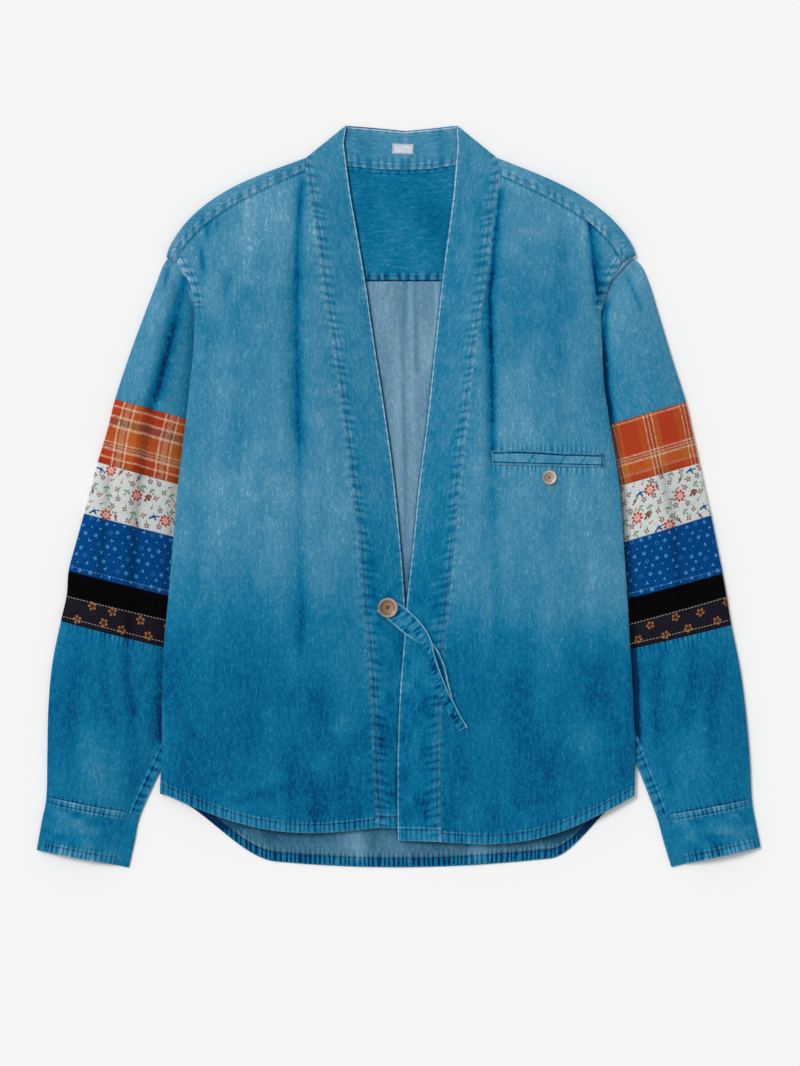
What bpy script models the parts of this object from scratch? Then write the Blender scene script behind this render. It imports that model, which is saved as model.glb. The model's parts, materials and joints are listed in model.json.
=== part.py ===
"""A denim wrap jacket with a band collar and pieced sleeves, laid out on its back.

X runs across the garment (the wearer's left is +X), Y up towards the collar, Z up from
the surface it lies on.  Tables and sizes are in millimetres, and MM turns them into metres.

Every cloth piece is a sheet of points halfway through the cloth, thickened both ways.
From the surface up lie the sleeves' hidden inner parts, the back and the yoke,
and then the fronts with the collar bands.
"""
import math
from collections import namedtuple

import bpy
import numpy as np
from mathutils import Vector
from mathutils.bvhtree import BVHTree

MM = 0.001

CLOTH = 1.2                 # thickness of every cloth wall
GAP = 0.3                   # space between pieces that are sewn edge to edge
SLANTED_GAP = 0.45          # the same along Y, where the seam slants across it
LAYER = 0.4                 # space between pieces that lie on each other

# Heights of the middle of the cloth above the surface.
FLOOR_MID = CLOTH / 2
TUCKED_MID = FLOOR_MID + CLOTH + LAYER + 0.1      # upper side of a sleeve under the body
RAISED_MID = TUCKED_MID + CLOTH + LAYER           # back, where a sleeve lies under it
SIDE_MID = RAISED_MID + CLOTH + LAYER             # fronts at the body's side
EDGE_MID = 3.0                                    # fronts at the free edge of the band
OVERLAP_LIFT = 3.6                                # the left front where it wraps over

OVERLAP_EDGE_X = 24.0       # the left front is lifted in full up to this line
OVERLAP_FADE = 90.0         # and comes down over this width
OVERLAP_TOP_Y = -15.0       # the lift starts at this level, a little above the V
OVERLAP_RAMP = 80.0         # and is full this far below it

# A cross-section's loft is sin(pi * share^LOFT_SKEW)^LOFT_FULLNESS.
LOFT_SKEW = 0.85            # below 1 the crown moves towards the body's side
LOFT_FULLNESS = 0.8         # below 1 the crown is broad
FULL_LOFT = 9.0             # folds are at full depth where the loft is at least this
DEEPEST_FOLD = 0.6          # the largest share of the loft that a fold takes away

YOKE_SEAM_Y = 222.0         # level of the seam between yoke and back
BACK_TUCK_MARGIN = 7.0      # the back stays raised this far past a sleeve's hidden edge
BACK_TUCK_SLOPE = 24.0      # and comes down to the surface over this width
BACK_HEM_DROP = 76.0        # how far the back hem reaches below the front hem's corners
BACK_HEM_CORNERS = (0.26, 0.20)     # width of its right and left corner, of the whole hem
BACK_HEM_SAG = 0.11         # part of the drop that lies in the bow between the corners
HEM_ONSET = 4               # power with which the back hem's drop sets in down the panel
FRONT_HEM_DROP = 20.0       # how far a front hem bows below the line between its corners
BOW_ONSET = 5               # power with which a front's bowed ends set in
YOKE_RISE = (0.0, 0.35, 0.7)    # shares of the yoke's height at which it has points
YOKE_RAISED_SHARE = 0.2     # part of the shoulder's length with a sleeve below it
YOKE_SEAM_BOW = 17.0        # how far the yoke's front seam bows above a straight line
SHOULDER_SKEW = 0.6         # below 1 a shoulder bows highest towards the armhole

# One row for each line across a front, from the yoke seam down to the hem: the body's
# side, the seam between front and band, the band's free edge, and the loft between them.
FrontRow = namedtuple("FrontRow", "side_x side_y seam_x seam_y edge_x edge_y loft")
FRONT_RIGHT = [
    FrontRow(-229, 243, -96, 337, -56, 365, 2.0),
    FrontRow(-215, 219, -90, 300, -49, 313, 5.0),
    FrontRow(-210, 195, -84, 264, -42, 272, 7.5),
    FrontRow(-211, 153, -77, 210, -33, 218, 9.5),
    FrontRow(-215, 115, -67, 149, -23, 149, 10.5),
    FrontRow(-219, 79, -59, 91, -14, 91, 10.5),
    FrontRow(-227, 13, -50, 22, -5, 27, 10.0),
    FrontRow(-232, -42, -42, -41, 2, -41, 9.5),
    FrontRow(-237, -103, -38, -103, 7, -104, 9.5),
    FrontRow(-242, -156, -32, -158, 10, -158, 9.5),
    FrontRow(-244, -210, -29, -210, 13, -210, 9.0),
    FrontRow(-244, -259, -27, -267, 15, -267, 7.0),
    FrontRow(-246, -305, -23, -342, 20, -344, 4.5),
]
FRONT_LEFT = [
    FrontRow(230, 241, 104, 332, 60, 361, 2.0),
    FrontRow(218, 220, 99, 300, 55, 305, 5.0),
    FrontRow(209, 189, 92, 241, 47, 245, 7.5),
    FrontRow(210, 151, 87, 202, 42, 202, 9.5),
    FrontRow(212, 115, 79, 150, 36, 147, 10.5),
    FrontRow(217, 80, 71, 80, 29, 80, 10.5),
    FrontRow(228, 10, 63, 10, 20, 10, 10.0),
    FrontRow(232, -47, 58, -50, 14, -50, 9.5),
    FrontRow(236, -106, 52, -106, 8, -106, 9.5),
    FrontRow(239, -158, 47, -158, 4, -158, 9.5),
    FrontRow(242, -210, 45, -211, 0, -211, 9.0),
    FrontRow(244, -264, 43, -272, -2, -272, 7.0),
    FrontRow(243, -309, 44, -356, -2, -355, 4.5),
]

# One row for each line across a sleeve: its outer fold, the point where it goes under
# the body, its inner fold, and its loft.  "piece" names what is sewn on below the line.
SleeveRow = namedtuple("SleeveRow", "piece outer_x outer_y under_x under_y inner_x inner_y loft")
SLEEVE_RIGHT = [
    SleeveRow("upper", -236, 248, -216, 228, -147, 149, 0.0),
    SleeveRow("upper", -243, 237, -219, 210, -144, 137, 0.0),
    SleeveRow("upper", -250, 218, -211, 192, -141, 125, 6.0),
    SleeveRow("upper", -263, 184, -210, 161, -140, 103, 8.0),
    SleeveRow("upper", -278, 143, -213, 125, -143, 82, 9.0),
    SleeveRow("plaid", -292, 100, -217, 79, -148, 58, 9.5),
    SleeveRow("plaid", -300, 68, -223, 46, -156, 26, 9.5),
    SleeveRow("floral", -310, 35, -227, 12, -163, -5, 9.5),
    SleeveRow("floral", -317, 8, -230, -15, -170, -31, 9.5),
    SleeveRow("blue", -324, -18, -232, -42, -176, -57, 9.5),
    SleeveRow("blue", -332, -47, -235, -72, -182, -86, 9.5),
    SleeveRow("black", -340, -77, -237, -103, -188, -116, 9.0),
    SleeveRow("dark", -342, -102, -239, -127, -194, -139, 9.0),
    SleeveRow("lower", -348, -129, -242, -156, -201, -167, 9.0),
    SleeveRow("lower", -357, -174, -243, -201, -215, -207, 9.5),
    SleeveRow("lower", -361, -220, -244, -243, -229, -247, 9.5),
    SleeveRow("lower", -362, -266, -257, -280, -246, -282, 9.0),
    SleeveRow("cuff", -363, -310, -277, -327, -267, -329, 7.5),
    SleeveRow("cuff", -368, -337, -283, -354, -273, -356, 7.5),
    SleeveRow("end", -373, -365, -289, -381, -279, -383, 7.5),
]
SLEEVE_LEFT = [
    SleeveRow("upper", 237, 248, 221, 229, 151, 149, 0.0),
    SleeveRow("upper", 250, 238, 223, 209, 148, 137, 0.0),
    SleeveRow("upper", 259, 217, 213, 192, 146, 125, 6.0),
    SleeveRow("upper", 269, 184, 210, 159, 144, 103, 8.0),
    SleeveRow("upper", 282, 141, 211, 120, 147, 82, 9.0),
    SleeveRow("plaid", 296, 97, 216, 73, 152, 54, 9.5),
    SleeveRow("plaid", 303, 66, 222, 42, 160, 23, 9.5),
    SleeveRow("floral", 310, 34, 227, 10, 168, -8, 9.5),
    SleeveRow("floral", 316, 7, 230, -19, 175, -35, 9.5),
    SleeveRow("blue", 322, -20, 231, -48, 182, -61, 9.5),
    SleeveRow("blue", 328, -50, 234, -77, 188, -89, 9.5),
    SleeveRow("black", 334, -80, 236, -106, 194, -117, 9.0),
    SleeveRow("dark", 338, -103, 238, -131, 199, -142, 9.0),
    SleeveRow("lower", 343, -133, 239, -158, 207, -167, 9.0),
    SleeveRow("lower", 352, -179, 242, -204, 220, -210, 9.5),
    SleeveRow("lower", 358, -225, 245, -247, 235, -251, 9.5),
    SleeveRow("lower", 362, -272, 261, -287, 251, -289, 9.0),
    SleeveRow("cuff", 364, -312, 277, -329, 267, -331, 7.5),
    SleeveRow("cuff", 368, -337, 284, -354, 274, -356, 7.5),
    SleeveRow("end", 373, -362, 292, -380, 282, -382.5, 7.5),
]

SLEEVE_CLEAR = 3.0          # a sleeve's loft starts this far outside the body's side
SLEEVE_ROUND = 0.93         # part of a half wave that the loft runs through
SLEEVE_SHARES = (0.0, 0.12, 0.26, 0.42, 0.58, 0.74, 0.88, 1.0)

# The collar round the back of the neck, from the middle of the back to the side fold:
# the seam to the yoke and the free top edge.
NeckRow = namedtuple("NeckRow", "seam_x seam_y top_x top_y")
NECK_RIGHT = [
    NeckRow(7.0, 337, 7.0, 377),
    NeckRow(-21.0, 338, -23.0, 380),
    NeckRow(-50.0, 341, -48.0, 382),
    NeckRow(-73.0, 345, -51.5, 382.3),
]
NECK_LEFT = [
    NeckRow(7.0, 337, 7.0, 377),
    NeckRow(35.0, 338.5, 37.0, 380),
    NeckRow(58.0, 342, 54.5, 382),
    NeckRow(80.0, 346, 57.5, 382.3),
]
# The fold at the side of the neck, from the neck point to the band's free edge.
SideFold = namedtuple("SideFold", "neck_x neck_y edge_x edge_y")
FOLD_RIGHT = SideFold(-95, 349, -54, 382.5)
FOLD_LEFT = SideFold(101, 349, 60, 382.5)

# The outer end of each shoulder fold, how far the fold bows above a straight line to the
# neck point, and where the armhole ends on the yoke's back seam.
Shoulder = namedtuple("Shoulder", "x y bow back_x")
SHOULDER_RIGHT = Shoulder(-239, 246, 26.0, -216)
SHOULDER_LEFT = Shoulder(244, 248, 23.0, 219)

# The largest folds: a trough or a ridge (negative depth) from one point to another.
Fold = namedtuple("Fold", "from_x from_y to_x to_y depth width")
BODY_FOLDS = [
    Fold(-99, 335, -104, 80, 3.0, 15),
    Fold(-104, 80, -106, -70, 2.4, 17),
    Fold(104, 330, 96, 180, 3.0, 14),
    Fold(96, 180, 96, 80, 3.4, 14),
    Fold(96, 80, 100, -66, 3.2, 15),
    Fold(100, -66, 109, -250, 2.6, 17),
    Fold(-170, 40, -150, -250, 1.5, 26),
    Fold(178, 130, 190, -250, 1.5, 24),
]
SLEEVE_FOLDS = [
    Fold(-222, 218, -249, 105, 3.0, 10),
    Fold(-332, -150, -262, -250, 2.2, 12),
    Fold(228, 215, 262, 100, 3.0, 10),
    Fold(330, -152, 268, -250, 2.2, 12),
]

# Everything that is cut for the wearer's right (-X) and left (+X).
Side = namedtuple("Side", "sign front sleeve neck fold shoulder")
SIDES = {
    "right": Side(-1, FRONT_RIGHT, SLEEVE_RIGHT, NECK_RIGHT, FOLD_RIGHT, SHOULDER_RIGHT),
    "left": Side(1, FRONT_LEFT, SLEEVE_LEFT, NECK_LEFT, FOLD_LEFT, SHOULDER_LEFT),
}

FRONT_COLUMNS = (0.0, 0.05, 0.15, 0.28, 0.40, 0.52, 0.62, 0.70, 0.78, 0.88, 1.0)
BAND_COLUMNS = (0.0, 0.33, 0.67, 1.0)
QUARTER_TURNS = (45, 90, 135)   # degrees round a fold, between its two layers

DENIM = (0.09, 0.30, 0.43)
DENIM_INSIDE = (0.17, 0.31, 0.42)
SLEEVE_COLOURS = {
    "upper": DENIM,
    "plaid": (0.56, 0.13, 0.05),
    "floral": (0.72, 0.72, 0.74),
    "blue": (0.01, 0.06, 0.24),
    "black": (0.006, 0.006, 0.008),
    "dark": (0.015, 0.014, 0.022),
    "lower": DENIM,
    "cuff": DENIM,
}
LABEL_WHITE = (0.75, 0.76, 0.78)
HORN_DARK = (0.36, 0.22, 0.13)
HORN_PALE = (0.50, 0.40, 0.30)


# ---------------------------------------------------------------- cloth in general

def make_material(name, colour, roughness):
    """A plain finish: one colour and roughness, not metallic."""
    material = bpy.data.materials.new(name)
    material.use_nodes = True
    shader = material.node_tree.nodes["Principled BSDF"]
    shader.inputs["Base Color"].default_value = (*colour, 1.0)
    shader.inputs["Roughness"].default_value = roughness
    shader.inputs["Metallic"].default_value = 0.0
    return material


def add_object(name, points, faces, colour, roughness=0.9):
    """Make a mesh object from points in millimetres."""
    mesh = bpy.data.meshes.new(name)
    mesh.from_pydata([tuple(MM * c for c in point) for point in points], [], faces)
    mesh.materials.append(make_material(name, colour, roughness))
    mesh.validate()
    cloth = bpy.data.objects.new(name, mesh)
    bpy.context.scene.collection.objects.link(cloth)
    return cloth


def thicken(cloth, thickness=CLOTH):
    """Give a sheet its thickness, half to each side."""
    wall = cloth.modifiers.new("Wall", "SOLIDIFY")
    wall.thickness = thickness * MM
    wall.offset = 0.0
    wall.use_rim = True
    return cloth


def grid_faces(rows, columns, closed=False):
    """Quads of a grid stored row by row; a closed one joins its last column to its first."""
    last = columns if closed else columns - 1
    return [
        (r * columns + c, r * columns + (c + 1) % columns,
         (r + 1) * columns + (c + 1) % columns, (r + 1) * columns + c)
        for r in range(rows - 1) for c in range(last)
    ]


def add_sheet(name, grid, colour, closed=False, thickness=CLOTH):
    """A cloth piece from a grid of points (rows, columns, 3)."""
    rows, columns, _ = grid.shape
    points = grid.reshape(-1, 3)
    return thicken(add_object(name, points, grid_faces(rows, columns, closed), colour), thickness)


def mix(start, end, share):
    """The point or number that lies share of the way from start to end."""
    return start + (end - start) * share


def unit(vector):
    """The vector at length one."""
    return vector / np.linalg.norm(vector)


def fold_depth(x, y, folds):
    """Sum of depth * exp(-(distance / width)^2) over the folds, measured to each segment."""
    total = 0.0
    for fold in folds:
        start = np.array([fold.from_x, fold.from_y], float)
        run = np.array([fold.to_x, fold.to_y], float) - start
        offset = np.array([x, y], float) - start
        along = min(max(float(offset @ run) / float(run @ run), 0.0), 1.0)
        distance = np.linalg.norm(offset - along * run)
        total += fold.depth * math.exp(-((distance / fold.width) ** 2))
    return total


def smooth(share):
    """Ease from 0 to 1 with level ends."""
    share = min(max(share, 0.0), 1.0)
    return share * share * (3.0 - 2.0 * share)



# ---------------------------------------------------------------- fronts

def overlap_lift(x, y):
    """Extra height of the left front, which wraps over the right one below the V."""
    across = 1.0 - smooth((x - OVERLAP_EDGE_X) / OVERLAP_FADE)
    down = smooth((OVERLAP_TOP_Y - y) / OVERLAP_RAMP)
    return OVERLAP_LIFT * across * down


def front_height(row, share, x, y, left):
    """Height over one line across the front, from the side (0) to the free edge (1)."""
    crown = row.loft * math.sin(math.pi * share ** LOFT_SKEW) ** LOFT_FULLNESS
    fold = fold_depth(x, y, BODY_FOLDS) * min(row.loft / FULL_LOFT, 1.0)
    height = mix(SIDE_MID, EDGE_MID, share) + crown - min(fold, DEEPEST_FOLD * crown)
    if left:
        height += overlap_lift(x, y)
    return height


def shoulder_shape(across):
    """How the shoulder bows, from the armhole (0) to the neck (1); 1 at its highest."""
    return math.sin(math.pi * across ** SHOULDER_SKEW)


def seam_share(row):
    """Share of a line across the front that lies outside the band."""
    front = math.dist((row.side_x, row.side_y), (row.seam_x, row.seam_y))
    band = math.dist((row.seam_x, row.seam_y), (row.edge_x, row.edge_y))
    return front / (front + band)


def front_point(rows, index, across):
    """A point of a front: row index, and across from the side (0) to the band seam (1)."""
    row = rows[index]
    down = index / (len(rows) - 1)
    x = mix(row.side_x, row.seam_x, across)
    y = mix(row.side_y, row.seam_y, across)
    y += YOKE_SEAM_BOW * shoulder_shape(across) * (1.0 - down) ** BOW_ONSET
    y -= FRONT_HEM_DROP * math.sin(math.pi * across) * down ** BOW_ONSET
    share = across * seam_share(row)
    return np.array([x, y, front_height(row, share, x, y, rows is FRONT_LEFT)])


def band_point(rows, index, across):
    """A point of the band: row index, and across from its seam (0) to its free edge (1)."""
    row = rows[index]
    x = mix(row.seam_x, row.edge_x, across)
    y = mix(row.seam_y, row.edge_y, across)
    share = mix(seam_share(row), 1.0, across)
    return np.array([x, y, front_height(row, share, x, y, rows is FRONT_LEFT)])


def build_front(side):
    """The front panel, from the yoke seam to the hem."""
    rows = SIDES[side].front
    grid = np.array([
        [front_point(rows, index, across) for across in FRONT_COLUMNS]
        for index in range(len(rows))
    ])
    return add_sheet("front_" + side, grid, DENIM)


# ---------------------------------------------------------------- turn at shoulder and neck

def turn_over(low, high, outward, reach):
    """Points of a fold from the lower to the upper layer, bulging outward to reach.

    low and high are the layers' heights; the fold is half a circle between them.
    """
    radius = (high - low) / 2.0
    centre = reach - outward * radius
    points = []
    for angle in (0, *QUARTER_TURNS, 180):
        turn = math.radians(angle)
        plan = centre + outward * radius * math.sin(turn)
        points.append([plan[0], plan[1], low + radius * (1.0 - math.cos(turn))])
    return points


def shoulder_fold(side, across):
    """Where the shoulder's fold lies, from the armhole (0) to the neck point (1)."""
    fold, shoulder = SIDES[side].fold, SIDES[side].shoulder
    x = mix(shoulder.x, fold.neck_x, across)
    y = mix(shoulder.y, fold.neck_y, across) + shoulder.bow * shoulder_shape(across)
    return np.array([x, y])


def yoke_column(side, across):
    """One line of the yoke, from the back seam up, over the shoulder and down to the front."""
    cut = SIDES[side]
    seam = front_point(cut.front, 0, across)
    top = shoulder_fold(side, across)
    outward = unit(top - seam[:2])
    low = RAISED_MID if across < YOKE_RAISED_SHARE else FLOOR_MID
    turned = turn_over(low, seam[2], outward, top)
    foot = np.array([mix(cut.shoulder.back_x, cut.fold.neck_x, across), YOKE_SEAM_Y])
    below = [[*mix(foot, np.array(turned[0][:2]), share), low] for share in YOKE_RISE]
    strip = seam[:2] + outward * SLANTED_GAP
    return np.array(below + turned + [[*strip, seam[2]]])


def build_yoke():
    """The yoke: the upper back, folded over each shoulder to a narrow strip in front."""
    columns = [yoke_column("right", across) for across in FRONT_COLUMNS]
    for neck in NECK_RIGHT[:0:-1] + NECK_LEFT:
        top = np.array([neck.seam_x, neck.seam_y - GAP])
        foot = np.array([neck.seam_x, YOKE_SEAM_Y])
        columns.append([[*mix(foot, top, share), FLOOR_MID] for share in (*YOKE_RISE, 1.0)])
    columns += [yoke_column("left", across) for across in reversed(FRONT_COLUMNS)]

    points, starts, faces = [], [], []
    for column in columns:
        starts.append(len(points))
        points.extend(column)
    for index in range(len(columns) - 1):
        a, b = starts[index], starts[index + 1]
        shared = min(len(columns[index]), len(columns[index + 1]))
        faces += [(a + s, a + s + 1, b + s + 1, b + s) for s in range(shared - 1)]
    return thicken(add_object("yoke", points, faces, DENIM))


def build_collar(side):
    """Half the band collar: round the back neck, over the side fold, and down the front."""
    cut = SIDES[side]
    rows = cut.front
    inward = -cut.sign
    grid = []
    for neck in cut.neck:
        seam = np.array([neck.seam_x, neck.seam_y, FLOOR_MID])
        top = np.array([neck.top_x, neck.top_y, FLOOR_MID])
        grid.append([mix(seam, top, across) for across in BAND_COLUMNS])
    half_gap = np.array([cut.sign * GAP / 2.0, 0.0, 0.0])
    grid[0] = [point + half_gap for point in grid[0]]

    neck_point = np.array([cut.fold.neck_x, cut.fold.neck_y], float)
    edge_point = np.array([cut.fold.edge_x, cut.fold.edge_y], float)
    along = unit(edge_point - neck_point)
    edge_out = np.array([-along[1], along[0]]) * inward
    seam_out = unit(shoulder_fold(side, 1.0) - front_point(rows, 0, 1.0)[:2])
    turns = []
    for across in BAND_COLUMNS:
        reach = mix(neck_point, edge_point, across)
        outward = unit(mix(seam_out, edge_out, across))
        turns.append(turn_over(FLOOR_MID, band_point(rows, 0, across)[2], outward, reach))
    for step in range(len(QUARTER_TURNS) + 2):
        grid.append([turn[step] for turn in turns])
    for index in range(len(rows)):
        grid.append([band_point(rows, index, across) for across in BAND_COLUMNS])
    grid = np.array(grid)
    first_turn = len(cut.neck)
    grid[first_turn:, 0, 0] += inward * GAP
    grid[first_turn, 0, 1] += GAP
    return add_sheet("collar_" + side, grid, DENIM)


# ---------------------------------------------------------------- back

def body_side(side, y):
    """Where the body's side lies at this level."""
    levels = [row.side_y for row in reversed(SIDES[side].front)]
    return float(np.interp(y, levels, [row.side_x for row in reversed(SIDES[side].front)]))


def width_under_body(side, y):
    """How far a sleeve's inner part reaches under the body at this level."""
    sleeve = SIDES[side].sleeve
    top = sleeve[0]
    if y > top.inner_y:
        reach = np.interp(y, [top.inner_y, top.outer_y], [abs(top.inner_x), abs(top.outer_x)])
    else:
        levels = [row.inner_y for row in reversed(sleeve)]
        reach = np.interp(y, levels, [abs(row.inner_x) for row in reversed(sleeve)])
    return max(abs(body_side(side, y)) - float(reach), 0.0)


def hem_bow(across):
    """Shape of the back hem from side (0) to side (1): round corners, nearly level between."""
    right, left = BACK_HEM_CORNERS
    corner = smooth(min(across / right, (1.0 - across) / left))
    return mix(corner, math.sin(math.pi * across), BACK_HEM_SAG)


def build_back():
    """The back panel, raised at its sides where the sleeves are tucked under it."""
    middle = (0.0, 0.06, 0.14, 0.26, 0.38, 0.5, 0.62, 0.74, 0.86, 0.94, 1.0)
    levels = (YOKE_SEAM_Y - GAP, 195, 153, 115, 79, 13, -42, -103, -156, -210, -259, -307)
    narrowest_tuck = 10.0
    grid = []
    for index, level in enumerate(levels):
        right, left = body_side("right", level), body_side("left", level)
        tuck_right = max(width_under_body("right", level), narrowest_tuck) + BACK_TUCK_MARGIN
        tuck_left = max(width_under_body("left", level), narrowest_tuck) + BACK_TUCK_MARGIN
        inner_right = right + tuck_right + BACK_TUCK_SLOPE
        inner_left = left - tuck_left - BACK_TUCK_SLOPE
        places = [(right, RAISED_MID), (right + tuck_right / 2, RAISED_MID),
                  (right + tuck_right, RAISED_MID)]
        places += [(mix(inner_right, inner_left, share), FLOOR_MID) for share in middle]
        places += [(left - tuck_left, RAISED_MID), (left - tuck_left / 2, RAISED_MID),
                   (left, RAISED_MID)]
        down = index / (len(levels) - 1)
        row = []
        for x, height in places:
            drop = BACK_HEM_DROP * hem_bow((x - right) / (left - right)) * down ** HEM_ONSET
            row.append([x, level - drop, height])
        grid.append(row)
    return add_sheet("back", np.array(grid), DENIM_INSIDE)


# ---------------------------------------------------------------- sleeves

def sleeve_ring(row):
    """One closed line round a sleeve, flat underneath and lofted above.

    The upper side rises from the tucked height as loft * sin(pi * SLEEVE_ROUND * s)
    to the power LOFT_FULLNESS, with s from the body's side to the outer fold.
    """
    outer = np.array([row.outer_x, row.outer_y], float)
    under = np.array([row.under_x, row.under_y], float)
    inner = np.array([row.inner_x, row.inner_y], float)
    outward = unit(outer - inner)
    clear = under + outward * SLEEVE_CLEAR
    inner_radius = (TUCKED_MID - FLOOR_MID) / 2.0
    waves = [math.sin(math.pi * SLEEVE_ROUND * share) for share in SLEEVE_SHARES]
    heights = [TUCKED_MID + row.loft * wave ** LOFT_FULLNESS for wave in waves]
    outer_radius = (heights[-1] - FLOOR_MID) / 2.0
    outer_end = outer - outward * outer_radius
    inner_end = inner + outward * inner_radius

    ring = [[*outer_end, FLOOR_MID], [*mix(outer_end, inner_end, 0.35), FLOOR_MID],
            [*mix(outer_end, inner_end, 0.7), FLOOR_MID], [*inner_end, FLOOR_MID]]
    ring.append([*inner, FLOOR_MID + inner_radius])
    ring.append([*inner_end, TUCKED_MID])
    ring.append([*mix(inner_end, clear, 0.5), TUCKED_MID])
    for share, height in zip(SLEEVE_SHARES, heights):
        plan = mix(clear, outer_end, share)
        fade = math.sin(math.pi * min(share, SLEEVE_ROUND))
        trough = fold_depth(plan[0], plan[1], SLEEVE_FOLDS) * fade
        ring.append([*plan, max(height - trough, TUCKED_MID)])
    for angle in QUARTER_TURNS:
        turn = math.radians(angle)
        plan = outer_end + outward * outer_radius * math.sin(turn)
        ring.append([*plan, FLOOR_MID + outer_radius * (1.0 + math.cos(turn))])
    return np.array(ring)


def pull_back(ring, neighbour):
    """Move a ring by half a seam's gap towards its neighbour."""
    run = np.linalg.norm(neighbour - ring, axis=1, keepdims=True)
    return mix(ring, neighbour, GAP / 2.0 / run)


def build_sleeve(side):
    """The sleeve's rings, cut into its sewn pieces with a small gap at each seam."""
    rows = SIDES[side].sleeve
    rings = [sleeve_ring(row) for row in rows]
    for piece, colour in SLEEVE_COLOURS.items():
        places = [index for index, row in enumerate(rows) if row.piece == piece]
        grid = np.array(rings[places[0]:places[-1] + 2])
        if piece != "upper":
            grid[0] = pull_back(grid[0], grid[1])
        if piece != "cuff":
            grid[-1] = pull_back(grid[-1], grid[-2])
        if side == "left":
            grid = grid[:, ::-1]
        name = "cuff_" + side if piece == "cuff" else f"sleeve_{side}_{piece}"
        add_sheet(name, grid, colour, closed=True)


# ---------------------------------------------------------------- pieces that lie on cloth

def cloth_tree(names):
    """A search tree over the finished walls of the named pieces."""
    depsgraph = bpy.context.evaluated_depsgraph_get()
    trees = []
    for name in names:
        trees.append(BVHTree.FromObject(bpy.data.objects[name], depsgraph))
    return trees


def top_of(trees, x, y):
    """Height in millimetres of the highest cloth at this place."""
    start = Vector((x * MM, y * MM, 0.1))
    heights = [0.0]
    for tree in trees:
        hit = tree.ray_cast(start, Vector((0.0, 0.0, -1.0)))
        if hit[0] is not None:
            heights.append(hit[0].z / MM)
    return max(heights)


def build_pocket_welt():
    """The welt of the chest pocket, laid on the left front."""
    thickness, height = 1.0, 15.0
    left_end, right_end = np.array([96.0, 39.5]), np.array([212.0, 36.5])
    trees = cloth_tree(["front_left"])
    grid = []
    for rise in (0.5, 0.0, -0.5):
        row = []
        for step in range(13):
            plan = mix(left_end, right_end, step / 12.0)
            x, y = plan[0], plan[1] + rise * height
            row.append([x, y, top_of(trees, x, y) + LAYER + thickness / 2.0])
        grid.append(row)
    return add_sheet("pocket_welt", np.array(grid), DENIM, thickness=thickness)


def build_label():
    """The small bare cloth label on the inside of the collar, at the middle of the back."""
    thickness, length, height, tilt = 1.0, 22.0, 10.5, math.radians(2.0)
    centre = np.array([4.5, 358.5])
    across = np.array([math.cos(tilt), -math.sin(tilt)])
    up = np.array([math.sin(tilt), math.cos(tilt)])
    level = FLOOR_MID + CLOTH / 2.0 + GAP + thickness / 2.0
    grid = [
        [[*(centre + across * length * a + up * height * b), level] for a in (-0.5, 0.0, 0.5)]
        for b in (0.5, -0.5)
    ]
    return add_sheet("label", np.array(grid), LABEL_WHITE, thickness=thickness)


# One row for each line across the tab: its upper and lower edge, and how far each edge
# stands off the cloth.  The tab starts under the button and rolls on its side half-way.
TabRow = namedtuple("TabRow", "upper_x upper_y upper_lift lower_x lower_y lower_lift")
TAB = [
    TabRow(-13, -104, 0.0, -23, -118, 0.0),
    TabRow(-2, -109, 0.0, -15, -124, 0.0),
    TabRow(11, -118, 0.3, -4, -133, 0.3),
    TabRow(22, -129, 1.2, 8, -143, 0.8),
    TabRow(31, -143, 3.2, 21, -153, 0.8),
    TabRow(39, -162, 4.5, 31, -169, 0.6),
    TabRow(45, -181, 4.5, 36, -185, 0.4),
    TabRow(52, -203, 2.5, 42, -206, 0.2),
    TabRow(60, -220, 1.2, 50, -225, 0.0),
    TabRow(71, -238, 0.4, 62, -242, 0.0),
]


def build_tab():
    """The cloth tab that buttons the jacket, with its free tail."""
    thickness, nearby = 1.4, 7.0
    trees = cloth_tree(["collar_right", "collar_left", "front_left"])
    grid = []
    for row in TAB:
        upper = np.array([row.upper_x, row.upper_y], float)
        lower = np.array([row.lower_x, row.lower_y], float)
        ends = []
        for share in (0.0, 0.5, 1.0):
            plan = mix(upper, lower, share)
            around = [top_of(trees, plan[0] + dx, plan[1] + dy)
                      for dx in (-nearby, 0.0, nearby) for dy in (-nearby, 0.0, nearby)]
            lift = mix(row.upper_lift, row.lower_lift, share)
            ends.append([*plan, max(around) + GAP + thickness / 2.0 + lift])
        grid.append(ends)
    return add_sheet("tab", np.array(grid), DENIM, thickness=thickness)


# A button: its place, size, the pieces that it lies on, and its colour.
Button = namedtuple("Button", "name x y radius thickness under colour")
BUTTONS = [
    Button("button_front", -11.0, -115.0, 10.3, 3.6, ("collar_right", "tab"), HORN_DARK),
    Button("button_pocket", 155.0, 19.0, 7.4, 2.8, ("front_left",), HORN_PALE),
]
# A button's profile from its underside to its dish: share of the radius, of the thickness.
BUTTON_PROFILE = [
    (0.55, 0.0), (0.9, 0.25), (1.0, 0.55), (0.93, 0.95), (0.82, 1.0), (0.62, 0.72), (0.50, 0.62),
]
BUTTON_STEPS = 24
HOLES = 4
HOLE_RING = 0.30            # share of the radius at which the holes lie
HOLE_SIZE = 0.105           # radius of a hole, of the button's radius


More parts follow.
